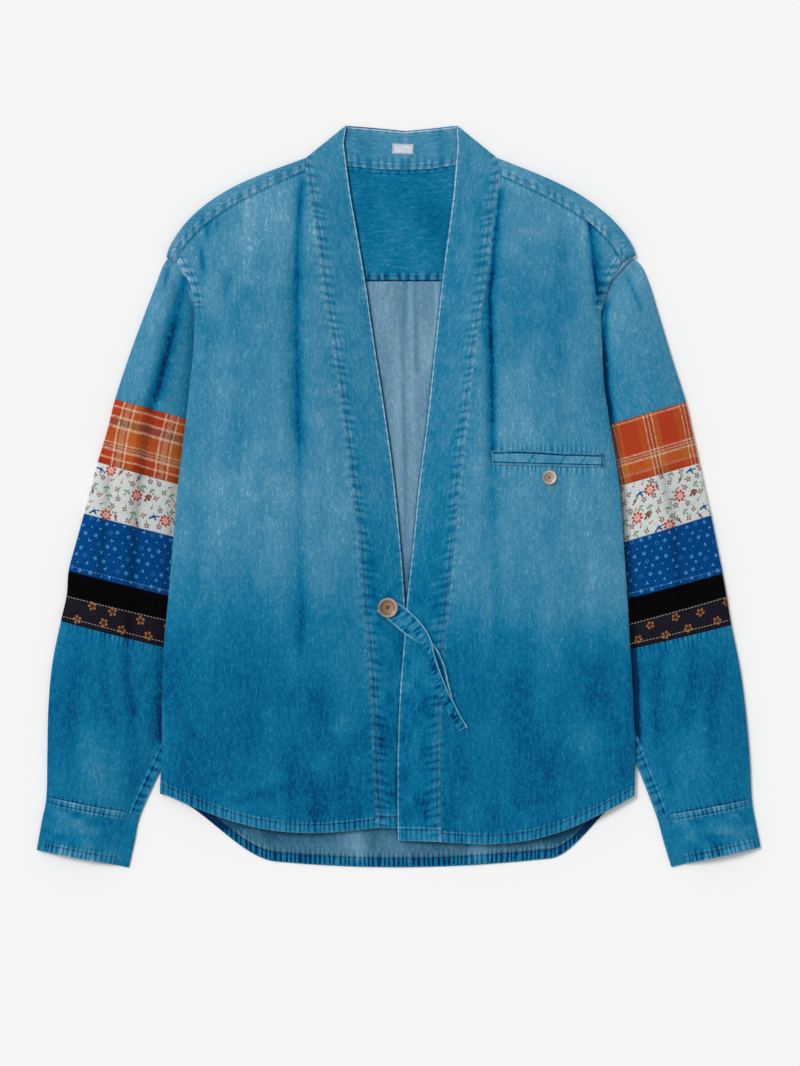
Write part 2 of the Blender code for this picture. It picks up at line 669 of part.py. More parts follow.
def build_button(kind):
    """A dished horn button with four holes, turned from its profile."""
    centre, radius, thickness = (kind.x, kind.y), kind.radius, kind.thickness
    trees = cloth_tree(kind.under)
    base = max(
        top_of(trees, centre[0] + radius * math.cos(a), centre[1] + radius * math.sin(a))
        for a in np.linspace(0.0, 2.0 * math.pi, 16)
    )
    base = max(base, top_of(trees, *centre)) + GAP
    turns = [2.0 * math.pi * step / BUTTON_STEPS for step in range(BUTTON_STEPS)]
    points = []
    for reach, rise in BUTTON_PROFILE:
        for turn in turns:
            points.append((centre[0] + reach * radius * math.cos(turn),
                           centre[1] + reach * radius * math.sin(turn),
                           base + rise * thickness))
    faces = [tuple(reversed(range(BUTTON_STEPS)))]
    for ring in range(len(BUTTON_PROFILE) - 1):
        for step in range(BUTTON_STEPS):
            a = ring * BUTTON_STEPS + step
            b = ring * BUTTON_STEPS + (step + 1) % BUTTON_STEPS
            faces.append((a, b, b + BUTTON_STEPS, a + BUTTON_STEPS))
    last = (len(BUTTON_PROFILE) - 1) * BUTTON_STEPS
    faces.append(tuple(range(last, last + BUTTON_STEPS)))
    button = add_object(kind.name, points, faces, kind.colour, roughness=0.4)
    for hole in range(HOLES):
        turn = 2.0 * math.pi * (hole + 0.5) / HOLES
        place = (centre[0] + HOLE_RING * radius * math.cos(turn),
                 centre[1] + HOLE_RING * radius * math.sin(turn))
        bpy.ops.mesh.primitive_cylinder_add(
            vertices=8, radius=HOLE_SIZE * radius * MM, depth=4.0 * thickness * MM,
            location=(place[0] * MM, place[1] * MM, (base + thickness / 2.0) * MM))
        drill = bpy.context.object
        drill.name = f"{kind.name}_drill_{hole}"
        drill.hide_render = True
        drill.display_type = "WIRE"
        cut = button.modifiers.new(f"Hole {hole}", "BOOLEAN")
        cut.operation = "DIFFERENCE"
        cut.solver = "EXACT"
        cut.object = drill
    return button


def main():
    for item in list(bpy.data.objects):
        bpy.data.objects.remove(item, do_unlink=True)
    build_back()
    build_yoke()
    for side in ("right", "left"):
        build_front(side)
        build_collar(side)
        build_sleeve(side)
    build_pocket_welt()
    build_label()
    build_tab()
    for kind in BUTTONS:
        build_button(kind)


main()
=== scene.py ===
"""The looks of a laid-out denim wrap jacket with a band collar and pieced sleeves.

X runs across the garment (the wearer's left is +X), Y up towards the collar, Z up from
the surface it lies on.  Tables and sizes are in millimetres, and MM turns them into metres.

Every cloth piece is worked out as a grid of points halfway through the cloth, rows by
columns, from the tables of its seams and folds.  Seams add a relief and a wear value to
the grid, the folds add painted shade and the ridges painted light to that value, and the
finished sheet gets its thickness last.
"""

import json
import math
from collections import namedtuple

import bmesh
import bpy
import numpy as np
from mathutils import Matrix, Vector
from mathutils.bvhtree import BVHTree

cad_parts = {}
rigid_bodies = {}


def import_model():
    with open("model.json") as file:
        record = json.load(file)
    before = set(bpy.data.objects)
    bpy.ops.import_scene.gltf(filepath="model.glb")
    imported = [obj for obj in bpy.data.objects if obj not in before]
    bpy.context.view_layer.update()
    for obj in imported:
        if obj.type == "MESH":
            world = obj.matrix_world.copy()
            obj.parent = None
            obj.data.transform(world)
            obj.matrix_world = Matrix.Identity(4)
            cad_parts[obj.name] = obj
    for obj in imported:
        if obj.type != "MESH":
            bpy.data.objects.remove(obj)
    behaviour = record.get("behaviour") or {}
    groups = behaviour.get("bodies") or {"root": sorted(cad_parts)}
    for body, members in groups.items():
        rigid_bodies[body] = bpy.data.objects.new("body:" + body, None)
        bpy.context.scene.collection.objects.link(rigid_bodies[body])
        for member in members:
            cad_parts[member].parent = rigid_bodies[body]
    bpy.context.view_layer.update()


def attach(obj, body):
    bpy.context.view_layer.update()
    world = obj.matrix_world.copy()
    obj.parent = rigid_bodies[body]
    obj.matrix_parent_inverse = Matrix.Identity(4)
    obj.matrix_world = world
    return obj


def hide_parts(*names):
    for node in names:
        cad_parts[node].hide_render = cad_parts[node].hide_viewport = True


MM = 0.001

CLOTH = 1.0                 # thickness of the cloth as shown
WALL = 1.2                  # thickness of the solids' walls, which set the layers' heights
GAP = 0.3                   # space between the solids that are sewn edge to edge
SEAM_GAP = 0.08             # space between the shown pieces there
LAYER = 0.4                 # space between pieces that lie on each other

# Heights of the middle of the cloth above the surface.
FLOOR_MID = WALL / 2
TUCKED_MID = FLOOR_MID + WALL + LAYER + 0.1       # upper side of a sleeve under the body
RAISED_MID = TUCKED_MID + WALL + LAYER            # back, where a sleeve lies under it
SIDE_MID = RAISED_MID + WALL + LAYER              # fronts at the body's side
EDGE_MID = 3.0                                    # fronts at the free edge of the band
OVERLAP_LIFT = 3.6                                # the left front where it wraps over

OVERLAP_EDGE_X = 24.0       # the left front is lifted in full up to this line
OVERLAP_FADE = 90.0         # and comes down over this width
OVERLAP_TOP_Y = -15.0       # the lift starts at this level, a little above the V
OVERLAP_RAMP = 80.0         # and is full this far below it

LOFT_SKEW = 0.85            # below 1 a cross-section's crown moves to the body's side
LOFT_FULLNESS = 0.8         # below 1 the crown is broad
FULL_LOFT = 9.0             # folds are at full depth where the loft is at least this
DEEPEST_FOLD = 0.6          # the largest share of the loft that a fold takes away

# Rough sizes of the pieces, from which their points are spaced.
FRONT_WIDTH = 165.0
SHOULDER_WIDTH = 150.0
BAND_WIDTH = 45.0
BACK_WIDTH = 485.0
YOKE_LENGTH = 115.0

FRONT_HEM = 9.5             # depth of a front's hem
BAND_HEM = 12.5             # and of the band's
ARMHOLE_FOOT_Y = 185.0      # an armhole's seam shows above this level
YOKE_SEAM_Y = 222.0         # level of the seam between yoke and back
BACK_TUCK_MARGIN = 7.0      # the back stays raised this far past a sleeve's hidden edge
BACK_TUCK_SLOPE = 24.0      # and comes down to the surface over this width
NARROWEST_TUCK = 10.0       # a sleeve reaches at least this far under the body
BACK_HEM_DROP = 76.0        # how far the back hem reaches below the front hem's corners
BACK_HEM_CORNERS = (0.245, 0.178)     # width of its right and left corner, of the whole hem
BACK_HEM_SAG = 0.25         # part of the drop that lies in the bow between the corners
BACK_HEM = 10.0             # depth of the back hem's turned-up strip
HEM_ONSET = 4               # power with which the back hem's drop sets in down the panel
FRONT_HEM_DROP = 20.0       # how far a front hem bows below the line between its corners
BOW_ONSET = 5               # power with which a front's bowed ends set in
YOKE_SEAM_BOW = 17.0        # how far the yoke's front seam bows above a straight line
SHOULDER_SKEW = 0.6         # below 1 a shoulder bows highest towards the armhole

# One row for each line across a front, from the yoke seam down to the hem: the body's
# side, the seam between front and band, the band's free edge, and the loft between them.
FrontRow = namedtuple("FrontRow", "side_x side_y seam_x seam_y edge_x edge_y loft")
FRONT_RIGHT = [FrontRow(*row) for row in (
    (-229, 243, -96, 337, -56, 365, 2.0),
    (-215, 219, -90, 300, -49, 313, 5.0),
    (-210, 195, -84, 264, -42, 272, 7.5),
    (-211, 153, -77, 210, -33, 218, 9.5),
    (-215, 115, -67, 149, -23, 149, 10.5),
    (-219, 79, -59, 91, -14, 91, 10.5),
    (-227, 13, -50, 22, -5, 27, 10.0),
    (-232, -42, -42, -41, 2, -41, 9.5),
    (-237, -103, -38, -103, 7, -104, 9.5),
    (-242, -156, -32, -158, 10, -158, 9.5),
    (-244, -210, -29, -210, 13, -210, 9.0),
    (-244, -259, -27, -267, 15, -267, 7.0),
    (-246, -305, -23, -342, 20, -344, 4.5),
)]
FRONT_LEFT = [FrontRow(*row) for row in (
    (230, 241, 104, 332, 60, 361, 2.0),
    (218, 220, 99, 300, 55, 305, 5.0),
    (209, 189, 92, 241, 47, 245, 7.5),
    (210, 151, 87, 202, 42, 202, 9.5),
    (212, 115, 79, 150, 36, 147, 10.5),
    (217, 80, 71, 80, 29, 80, 10.5),
    (228, 10, 63, 10, 20, 10, 10.0),
    (232, -47, 58, -50, 14, -50, 9.5),
    (236, -106, 52, -106, 8, -106, 9.5),
    (239, -158, 47, -158, 4, -158, 9.5),
    (242, -210, 45, -211, 0, -211, 9.0),
    (244, -264, 43, -272, -2, -272, 7.0),
    (243, -309, 44, -356, -2, -355, 4.5),
)]

# One row for each line across a sleeve: its outer fold, the point where it goes under
# the body, its inner fold, and its loft.  "piece" names what is sewn on below the line.
SleeveRow = namedtuple("SleeveRow", "piece outer_x outer_y under_x under_y inner_x inner_y loft")
SLEEVE_RIGHT = [SleeveRow(*row) for row in (
    ("upper", -236, 248, -216, 228, -147, 149, 0.0),
    ("upper", -243, 237, -219, 210, -144, 137, 0.0),
    ("upper", -250, 218, -211, 192, -141, 125, 6.0),
    ("upper", -263, 184, -210, 161, -140, 103, 8.0),
    ("upper", -278, 143, -213, 125, -143, 82, 9.0),
    ("plaid", -292, 100, -217, 79, -148, 58, 9.5),
    ("plaid", -300, 68, -223, 46, -156, 26, 9.5),
    ("floral", -310, 35, -227, 12, -163, -5, 9.5),
    ("floral", -317, 8, -230, -15, -170, -31, 9.5),
    ("blue", -324, -18, -232, -42, -176, -57, 9.5),
    ("blue", -332, -47, -235, -72, -182, -86, 9.5),
    ("black", -340, -77, -237, -103, -188, -116, 9.0),
    ("dark", -342, -102, -239, -127, -194, -139, 9.0),
    ("lower", -348, -129, -242, -156, -201, -167, 9.0),
    ("lower", -357, -174, -243, -201, -215, -207, 9.5),
    ("lower", -361, -220, -244, -243, -229, -247, 9.5),
    ("lower", -362, -266, -257, -280, -246, -282, 9.0),
    ("cuff", -363, -310, -277, -327, -267, -329, 7.5),
    ("cuff", -368, -337, -283, -354, -273, -356, 7.5),
    ("end", -373, -365, -289, -381, -279, -383, 7.5),
)]
SLEEVE_LEFT = [SleeveRow(*row) for row in (
    ("upper", 237, 248, 221, 229, 151, 149, 0.0),
    ("upper", 250, 238, 223, 209, 148, 137, 0.0),
    ("upper", 259, 217, 213, 192, 146, 125, 6.0),
    ("upper", 269, 184, 210, 159, 144, 103, 8.0),
    ("upper", 282, 141, 211, 120, 147, 82, 9.0),
    ("plaid", 296, 97, 216, 73, 152, 54, 9.5),
    ("plaid", 303, 66, 222, 42, 160, 23, 9.5),
    ("floral", 310, 34, 227, 10, 168, -8, 9.5),
    ("floral", 316, 7, 230, -19, 175, -35, 9.5),
    ("blue", 322, -20, 231, -48, 182, -61, 9.5),
    ("blue", 328, -50, 234, -77, 188, -89, 9.5),
    ("black", 334, -80, 236, -106, 194, -117, 9.0),
    ("dark", 338, -103, 238, -131, 199, -142, 9.0),
    ("lower", 343, -133, 239, -158, 207, -167, 9.0),
    ("lower", 352, -179, 242, -204, 220, -210, 9.5),
    ("lower", 358, -225, 245, -247, 235, -251, 9.5),
    ("lower", 362, -272, 261, -287, 251, -289, 9.0),
    ("cuff", 364, -312, 277, -329, 267, -331, 7.5),
    ("cuff", 368, -337, 284, -354, 274, -356, 7.5),
    ("end", 373, -362, 292, -380, 282, -382.5, 7.5),
)]
CUFF_HEM = 8.0              # depth of a cuff's hem
SLEEVE_CLEAR = 3.0          # a sleeve's loft starts this far outside the body's side
SLEEVE_ROUND = 0.93         # part of a half wave that the loft runs through

# The collar round the back of the neck, from the middle of the back to the side fold:
# the seam to the yoke and the free top edge.
NeckRow = namedtuple("NeckRow", "seam_x seam_y top_x top_y")
NECK_RIGHT = [NeckRow(*row) for row in (
    (7.0, 337, 7.0, 377),
    (-21.0, 338, -23.0, 380),
    (-50.0, 341, -48.0, 382),
    (-73.0, 345, -51.5, 382.3),
)]
NECK_LEFT = [NeckRow(*row) for row in (
    (7.0, 337, 7.0, 377),
    (35.0, 338.5, 37.0, 380),
    (58.0, 342, 54.5, 382),
    (80.0, 346, 57.5, 382.3),
)]
# The fold at the side of the neck, from the neck point to the band's free edge.
SideFold = namedtuple("SideFold", "neck_x neck_y edge_x edge_y")
FOLD_RIGHT = SideFold(-95, 349, -54, 382.5)
FOLD_LEFT = SideFold(101, 349, 60, 382.5)

# The outer end of each shoulder fold, how far the fold bows above a straight line to the
# neck point, and where the armhole ends on the yoke's back seam.
Shoulder = namedtuple("Shoulder", "x y bow back_x")
SHOULDER_RIGHT = Shoulder(-239, 246, 26.0, -216)
SHOULDER_LEFT = Shoulder(244, 248, 23.0, 219)

# Levels of the lines across the back, from the yoke seam down.
BACK_LEVELS = [YOKE_SEAM_Y - SEAM_GAP, 195, 153, 115, 79, 13, -42, -103, -156, -210, -259, -307]

# Everything that is cut for the wearer's right (-X) and left (+X).
Side = namedtuple("Side", "sign front sleeve neck fold shoulder")
SIDES = {
    "right": Side(-1, FRONT_RIGHT, SLEEVE_RIGHT, NECK_RIGHT, FOLD_RIGHT, SHOULDER_RIGHT),
    "left": Side(1, FRONT_LEFT, SLEEVE_LEFT, NECK_LEFT, FOLD_LEFT, SHOULDER_LEFT),
}

# A soft trough (or a ridge, where the depth is negative) along a path of points.
Fold = namedtuple("Fold", "depth width path")
BODY_FOLDS = [Fold(*row) for row in (
    # the long troughs that hang from the shoulders beside the band
    (2.2, 8, [(-99, 335), (-106, 250), (-105, 160), (-102, 60)]),
    (1.0, 9, [(-103, 80), (-99, -127), (-104, -150)]),
    (2.2, 6, [(105, 320), (99, 275), (93, 204), (95, 123), (96, 40)]),
    (0.9, 4, [(93, 215), (95, 123), (96, 30), (97, -20)]),
    (0.6, 11, [(96, 44), (98, -66), (105, -160), (110, -240)]),
    (0.7, 20, [(-168, 40), (-150, -250)]),
    (0.6, 16, [(160, 280), (178, 60)]),
    (0.7, 18, [(182, 60), (190, -250)]),
    # ridges beside them
    (-0.9, 9, [(-122, 290), (-124, 20)]),
    (-0.7, 8, [(-84, 190), (-86, -60)]),
    (-0.5, 9, [(114, 270), (112, 20)]),
    (-0.5, 6, [(84, 150), (84, -40)]),
    (-0.4, 11, [(-66, 20), (-62, -190)]),
    (-0.5, 16, [(150, -60), (146, -280)]),
    # the crisp fold beside each armhole, and the gathers under the shoulder seams
    (1.7, 4, [(195, 286), (199, 245), (205, 196)]),
    (-0.8, 5, [(188, 284), (196, 200)]),
    (1.7, 4, [(-205, 262), (-201, 228)]),
    (1.3, 2.5, [(-209, 271), (-208, 248)]),
    (1.0, 3, [(-195, 288), (-199, 262)]),
    (0.8, 3, [(-186, 291), (-188, 272)]),
    (0.7, 3, [(-165, 292), (-162, 276)]),
    (0.9, 6, [(-172, 232), (-181, 203)]),
    (0.6, 4, [(170, 262), (172, 240)]),
    # short creases at the band and above the hems
    (1.1, 3, [(-32, -239), (-44, -255)]),
    (0.6, 4, [(-116, -322), (-92, -327), (-60, -326)]),
    (1.4, 4, [(-168, -315), (-114, -301)]),
    (-0.6, 4, [(-158, -300), (-120, -290)]),
    (0.6, 5, [(-222, -236), (-190, -262)]),
    (0.6, 8, [(-84, -200), (-92, -300)]),
    (0.6, 5, [(-52, -260), (-58, -310)]),
    (0.7, 6, [(60, -262), (76, -306)]),
    (0.8, 5, [(120, -318), (168, -306)]),
    (0.6, 9, [(210, -100), (214, -260)]),
    (0.6, 4, [(186, -282), (222, -262)]),
)]
SLEEVE_FOLDS = [Fold(*row) for row in (
    # the deep fold down the inner half of each sleeve
    (3.2, 6, [(-222, 226), (-232, 184), (-243, 137), (-256, 92)]),
    (1.1, 6, [(-256, 92), (-262, 50), (-271, -30), (-278, -144)]),
    (-0.4, 7, [(-245, 215), (-268, 110)]),
    (0.8, 3, [(-237, 240), (-242, 212)]),
    (-0.6, 8, [(-300, 90), (-330, -60)]),
    (0.8, 4, [(231, 232), (250, 192)]),
    (0.9, 4, [(212, 143), (246, 92)]),
    (0.7, 3, [(240, 160), (262, 100)]),
    (-0.5, 8, [(262, 195), (286, 90)]),
    (0.7, 8, [(262, 60), (282, -30), (292, -130)]),
    # soft folds below the bands
    (1.8, 5, [(-278, -146), (-281, -182), (-272, -222)]),
    (1.2, 6, [(-272, -222), (-271, -266), (-274, -308)]),
    (1.0, 5, [(-301, -146), (-302, -196), (-292, -245), (-300, -292)]),
    (1.0, 4, [(-258, -182), (-265, -196)]),
    (0.6, 8, [(-331, -150), (-338, -260)]),
    (1.1, 7, [(303, -155), (301, -235)]),
    (0.9, 6, [(332, -168), (322, -220), (326, -300)]),
    (-0.8, 5, [(250, -206), (273, -267)]),
    (1.0, 6, [(262, -226), (281, -300)]),
    (0.9, 5, [(276, -150), (268, -190)]),
)]
BACK_FOLDS = [Fold(*row) for row in (
    (0.6, 2.2, [(7, 222), (4, 160), (6, 60), (9, -90)]),
    (-0.4, 3, [(14, 222), (15, 20)]),
    (0.5, 2, [(-10, 218), (-16, 204)]),
    (0.6, 2.5, [(16, 222), (19, 130)]),
    (-0.5, 3, [(40, 215), (39, 90)]),
    (0.4, 8, [(-24, 120), (-20, -40)]),
    (-0.8, 9, [(-60, -250), (-40, -372)]),
    (-0.7, 10, [(90, -260), (80, -372)]),
    (0.6, 10, [(-130, -240), (-136, -350)]),
    (0.6, 12, [(150, -240), (160, -350)]),
)]

# Painted shade: the dark heart of a crisp fold, painted along a path that runs down the cloth:
# it fades out over the sharp width on one side and over the soft width on the other, outward
# from the middle of the garment where the soft width is positive.
Shade = namedtuple("Shade", "depth sharp soft path")
SHADE_END = 14.0            # and it sets in and ends over this length
BODY_SHADES = [Shade(*row) for row in (
    (1.1, 1.8, 9.0, [(193, 292), (196, 284), (200, 243), (206, 196)]),
    (0.78, 2.4, 3.8, [(106, 322), (100, 275), (94, 204), (96, 123), (97, 30)]),
    (0.26, 3.0, 20.0, [(107, 322), (103, 275), (99, 215)]),
    (0.32, 5.0, 10.0, [(97, 40), (99, -60), (104, -160)]),
    (0.60, 4.0, 2.4, [(-100, 330), (-105, 270), (-105.5, 200), (-103, 40)]),
    (0.26, 13.0, 3.0, [(-99, 335), (-104, 270), (-104, 215)]),
    (0.35, 5.0, 3.0, [(-103, 50), (-100, -127), (-104, -170)]),
    (0.7, 3.0, 2.0, [(-204, 264), (-201, 226)]),
    (0.5, 2.0, 3.0, [(-194, 290), (-198, 258)]),
    (0.5, 2.0, 3.0, [(-185, 292), (-187, 268)]),
    (0.35, 2.0, 3.0, [(-164, 294), (-161, 272)]),
    (0.4, 5.0, 3.0, [(-171, 236), (-181, 200)]),
    (0.4, 3.0, 5.0, [(168, 258), (172, 236)]),
)]
SLEEVE_SHADES = [Shade(*row) for row in (
    (0.65, 5.5, 5.5, [(-214, 246), (-220, 222), (-229, 180), (-239, 140), (-252, 90)]),
    (0.35, 15.0, 11.0, [(-226, 190), (-229, 180), (-239, 140), (-252, 90)]),
    (0.55, 4.5, 6.0, [(-252, 100), (-262, 50), (-271, -30), (-279, -150)]),
    (0.5, 3.0, 6.0, [(-297, 30), (-304, -40), (-308, -100)]),
    (0.5, 2.0, 3.0, [(-236, 244), (-243, 205)]),
    (0.4, 2.0, 3.0, [(232, 236), (252, 186)]),
    (0.4, 3.0, 6.0, [(268, 40), (282, -30), (291, -130)]),
)]


# ---------------- numbers

def smooth(share):
    """Ease from 0 to 1 with level ends."""
    share = np.clip(share, 0.0, 1.0)
    return share * share * (3.0 - 2.0 * share)


def mix(start, end, share):
    """What lies share of the way from start to end."""
    return start + (end - start) * share


def unit(vectors):
    """The vectors at length one."""
    return vectors / np.linalg.norm(vectors, axis=-1, keepdims=True)


def soft_noise(x, y, cell_x, cell_y, seed):
    """Smooth noise from -1 to 1: random values on a lattice of cells, eased between them."""
    size = 64
    corners = np.random.default_rng(seed).uniform(-1.0, 1.0, (size, size))
    column, row = np.floor(x / cell_x).astype(int), np.floor(y / cell_y).astype(int)
    across, along = smooth(x / cell_x - column), smooth(y / cell_y - row)
    low = mix(corners[column % size, row % size], corners[(column + 1) % size, row % size], across)
    high = mix(corners[column % size, (row + 1) % size],
               corners[(column + 1) % size, (row + 1) % size], across)
    return mix(low, high, along)


def bell(offset, width):
    """1 where the offset is nought, easing off to both sides: exp(-(offset / width)^2)."""
    return np.exp(-((offset / width) ** 2))


def by_level(table, y):
    """The value at each level, between the (level, value) pairs of a table."""
    levels, values = zip(*table)
    return np.interp(y, levels, values)


def through_rows(values, places):
    """A smooth curve through the rows of an array, read at fractional row numbers.

    Between rows b and c, with a before and d after them, it is the cubic
    b + t (c - a) / 2 + t^2 (a - 5/2 b + 2 c - d / 2) + t^3 (3/2 (b - c) + (d - a) / 2).
    """
    values = np.asarray(values, float)
    last = len(values) - 1
    places = np.clip(places, 0.0, last)
    index = np.minimum(places.astype(int), last - 1)
    t = (places - index).reshape(-1, *[1] * (values.ndim - 1))
    before = 2.0 * values[:1] - values[1:2]
    after = 2.0 * values[-1:] - values[-2:-1]
    padded = np.concatenate([before, values, after])
    a, b, c, d = (padded[index + step] for step in range(4))
    rise = (c - a) / 2.0
    bend = a - 2.5 * b + 2.0 * c - 0.5 * d
    twist = 1.5 * (b - c) + 0.5 * (d - a)
    return b + t * (rise + t * (bend + t * twist))


def graded(length, fine, coarse, at_start=True, at_end=True, margin=14.0, ease=30.0):
    """Shares from 0 to 1 of a length: fine steps within the margin at its ends, then coarse."""
    places = np.linspace(0.0, length, 4001)
    reach = np.full_like(places, length)
    if at_start:
        reach = np.minimum(reach, places)
    if at_end:
        reach = np.minimum(reach, length - places)
    step = mix(fine, coarse, smooth((reach - margin) / ease))
    count = np.concatenate([[0.0], np.cumsum(np.diff(places) / step[:-1])])
    wanted = np.linspace(0.0, count[-1], math.ceil(count[-1]) + 1)
    return np.interp(wanted, count, places) / length


def path_reach(path):
    """Distance of each point of a path from its first one, along the path."""
    steps = np.linalg.norm(np.diff(path, axis=0), axis=1)
    return np.concatenate([[0.0], np.cumsum(steps)])


def row_places(path, shares):
    """Row numbers that lie at these shares of the length of a path with one point a row."""
    reach = path_reach(path)
    return np.interp(shares * reach[-1], reach, np.arange(len(path)))


def path_length(path):
    """Length of a path of points."""
    return float(np.linalg.norm(np.diff(path, axis=0), axis=1).sum())


def distance_to(x, y, path):
    """Distance from each point to the nearest place on a path of straight runs."""
    nearest = np.full_like(x, np.inf)
    for (from_x, from_y), (to_x, to_y) in zip(path, path[1:]):
        run_x, run_y = to_x - from_x, to_y - from_y
        along = ((x - from_x) * run_x + (y - from_y) * run_y) / (run_x ** 2 + run_y ** 2)
        along = np.clip(along, 0.0, 1.0)
        nearest = np.minimum(nearest, np.hypot(x - from_x - along * run_x, y - from_y - along * run_y))
    return nearest


def fold_depth(x, y, folds):
    """Sum of depth * exp(-(distance / width)^2) over the folds, measured to each path."""
    return sum(fold.depth * bell(distance_to(x, y, fold.path), fold.width) for fold in folds)


def shade_depth(x, y, shades):
    """Sum of depth * exp(-(offset / width)^1.5) over the shades, with the offset taken across."""
    total = np.zeros_like(x)
    for shade in shades:
        path = np.array(shade.path, float)
        offset = (x - np.interp(-y, -path[:, 1], path[:, 0])) * np.sign(path[0, 0])
        width = np.where(offset > 0.0, shade.soft, shade.sharp)
        ends = smooth((path[0, 1] - y) / SHADE_END) * smooth((y - path[-1, 1]) / SHADE_END)
        total += shade.depth * np.exp(-(np.abs(offset / width) ** 1.5)) * ends
    return total


# ---------------- grids of points

def reach_across(grid):
    """Distance of each point of a grid from its row's first point, along the row."""
    steps = np.linalg.norm(np.diff(grid, axis=1), axis=2)
    return np.concatenate([np.zeros((len(grid), 1)), np.cumsum(steps, axis=1)], axis=1)


def reach_down(grid):
    """Distance of each point of a grid from its column's first point, down the column."""
    return reach_across(grid.transpose(1, 0, 2)).T


class Edges:
    """How far each point of a grid is from the grid's four edges, in millimetres."""

    def __init__(self, grid):
        across, down = reach_across(grid), reach_down(grid)
        self.left, self.right = across, across[:, -1:] - across
        self.top, self.bottom = down, down[-1:] - down


def inset_line(grid, edge, distance):
    """The line of points that lies this far inside the "left", "right", "top" or "bottom"."""
    if edge in ("left", "right"):
        grid = grid.transpose(1, 0, 2)
    if edge in ("right", "bottom"):
        grid = grid[::-1]
    reach = reach_down(grid)
    column = np.arange(grid.shape[1])
    after = np.clip(np.argmax(reach >= distance, axis=0), 1, None)
    low, high = reach[after - 1, column], reach[after, column]
    share = ((distance - low) / (high - low))[:, None]
    return mix(grid[after - 1, column], grid[after, column], share)


def read_grid(grid, rows, columns):
    """Points of a grid at fractional row and column numbers, straight between its points."""
    rows = np.clip(rows, 0.0, grid.shape[0] - 1.001)
    columns = np.clip(columns, 0.0, grid.shape[1] - 1.001)
    r, c = rows.astype(int), columns.astype(int)
    down, across = (rows - r)[..., None], (columns - c)[..., None]
    upper = mix(grid[r, c], grid[r, c + 1], across)
    lower = mix(grid[r + 1, c], grid[r + 1, c + 1], across)
    return mix(upper, lower, down)


def grid_faces(rows, columns, closed=False):
    """Quads of a grid stored row by row; a closed one joins its last column to its first."""
    last = columns if closed else columns - 1
    r, c = np.meshgrid(np.arange(rows - 1), np.arange(last), indexing="ij")
    after = (c + 1) % columns
    corners = [r * columns + c, (r + 1) * columns + c, (r + 1) * columns + after,
               r * columns + after]
    return np.stack(corners, axis=-1).reshape(-1, 4)


def sewn_edge(distance, width, depth=0.5):
    """Height, wear and gathers of a stitched edge, from the distance to it, all in millimetres.

    From the edge to the stitches, at width, the doubled cloth stands up by depth.  The
    stitches draw a groove beside a worn line.  Gathers are 1 where the doubled cloth is
    drawn in, and fade out over a few millimetres past the stitches.
    """
    past = distance - width
    doubled = depth * smooth((1.0 - past) / 1.6)
    groove = bell(past, 0.8)
    gathers = bell(np.maximum(past, 0.0), 0.3 * width + 1.0)
    gathers *= 0.35 + 0.65 * smooth((distance + 1.0) / 3.0)
    worn = 0.7 * bell(distance, 0.9) + 0.8 * bell(past - 1.1, 0.7) + 0.3 * smooth(-(past + 0.5) / 1.5)
    return doubled - 0.35 * groove, worn - 0.6 * groove, gathers


# ---------------- mesh objects

def add_mesh(name, points, faces, materials, smooth_shaded=True):
    """A mesh object from points in millimetres, placed in its mesh."""
    mesh = bpy.data.meshes.new(name)
    mesh.from_pydata((np.asarray(points) * MM).tolist(), [], np.asarray(faces).tolist())
    for material in materials:
        mesh.materials.append(material)
    mesh.polygons.foreach_set("use_smooth", np.full(len(mesh.polygons), smooth_shaded))
    piece = bpy.data.objects.new(name, mesh)
    bpy.context.scene.collection.objects.link(piece)
    return piece


def set_value(piece, name, values):
    """Store one number for each point under this name, for the materials to read."""
    attribute = piece.data.attributes.new(name, "FLOAT", "POINT")
    attribute.data.foreach_set("value", np.asarray(values, np.float32).ravel())


def set_cloth_map(piece, across, down):
    """Store the flat cloth coordinates, in metres, as the piece's UV map."""
    layer = piece.data.uv_layers.new(name="cloth")
    loops = np.zeros(len(piece.data.loops), np.int32)
    piece.data.loops.foreach_get("vertex_index", loops)
    flat = np.stack([across.ravel(), down.ravel()], axis=1)[loops] * MM
    layer.data.foreach_set("uv", flat.astype(np.float32).ravel())


def thicken(piece, thickness=CLOTH, inside=0):
    """Give a sheet its thickness, half to each side; inside is its inner side's material."""
    wall = piece.modifiers.new("Cloth", "SOLIDIFY")
    wall.thickness = thickness * MM
    wall.offset = 0.0
    wall.use_rim = True
    wall.material_offset = inside


def weld_and_turn_out(piece):
    """Join points that lie on each other and make all faces agree on one side."""
    form = bmesh.new()
    form.from_mesh(piece.data)
    bmesh.ops.remove_doubles(form, verts=form.verts, dist=0.02 * MM)
    bmesh.ops.recalc_face_normals(form, faces=form.faces)
    form.to_mesh(piece.data)
    form.free()


def dress(piece, slot, node):
    """Fasten a finished piece to the garment and hide the solid that it stands for."""
    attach(piece, "root")
    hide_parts(node)


def sheet_area(grid):
    """Area of a grid of points, in square millimetres: half the cross products of diagonals."""
    one = grid[1:, 1:] - grid[:-1, :-1]
    other = grid[1:, :-1] - grid[:-1, 1:]
    return float(np.linalg.norm(np.cross(one, other), axis=2).sum() / 2.0)


def declare_cloth(piece, grids):
    """Work out what a cloth piece measures laid flat: its longest row, longest column and area;
    nothing keeps the result.
    """
    width = max(reach_across(grid)[:, -1].max() for grid in grids) * MM
    length = max(reach_down(grid)[-1].max() for grid in grids) * MM
    area = sum(sheet_area(grid) for grid in grids) * MM * MM
    width = max(width, area / length * 1.02)


Cloth = namedtuple("Cloth", "piece grid wear")
CLOTHS = {}                 # finished pieces by name, for what is sewn or laid on them


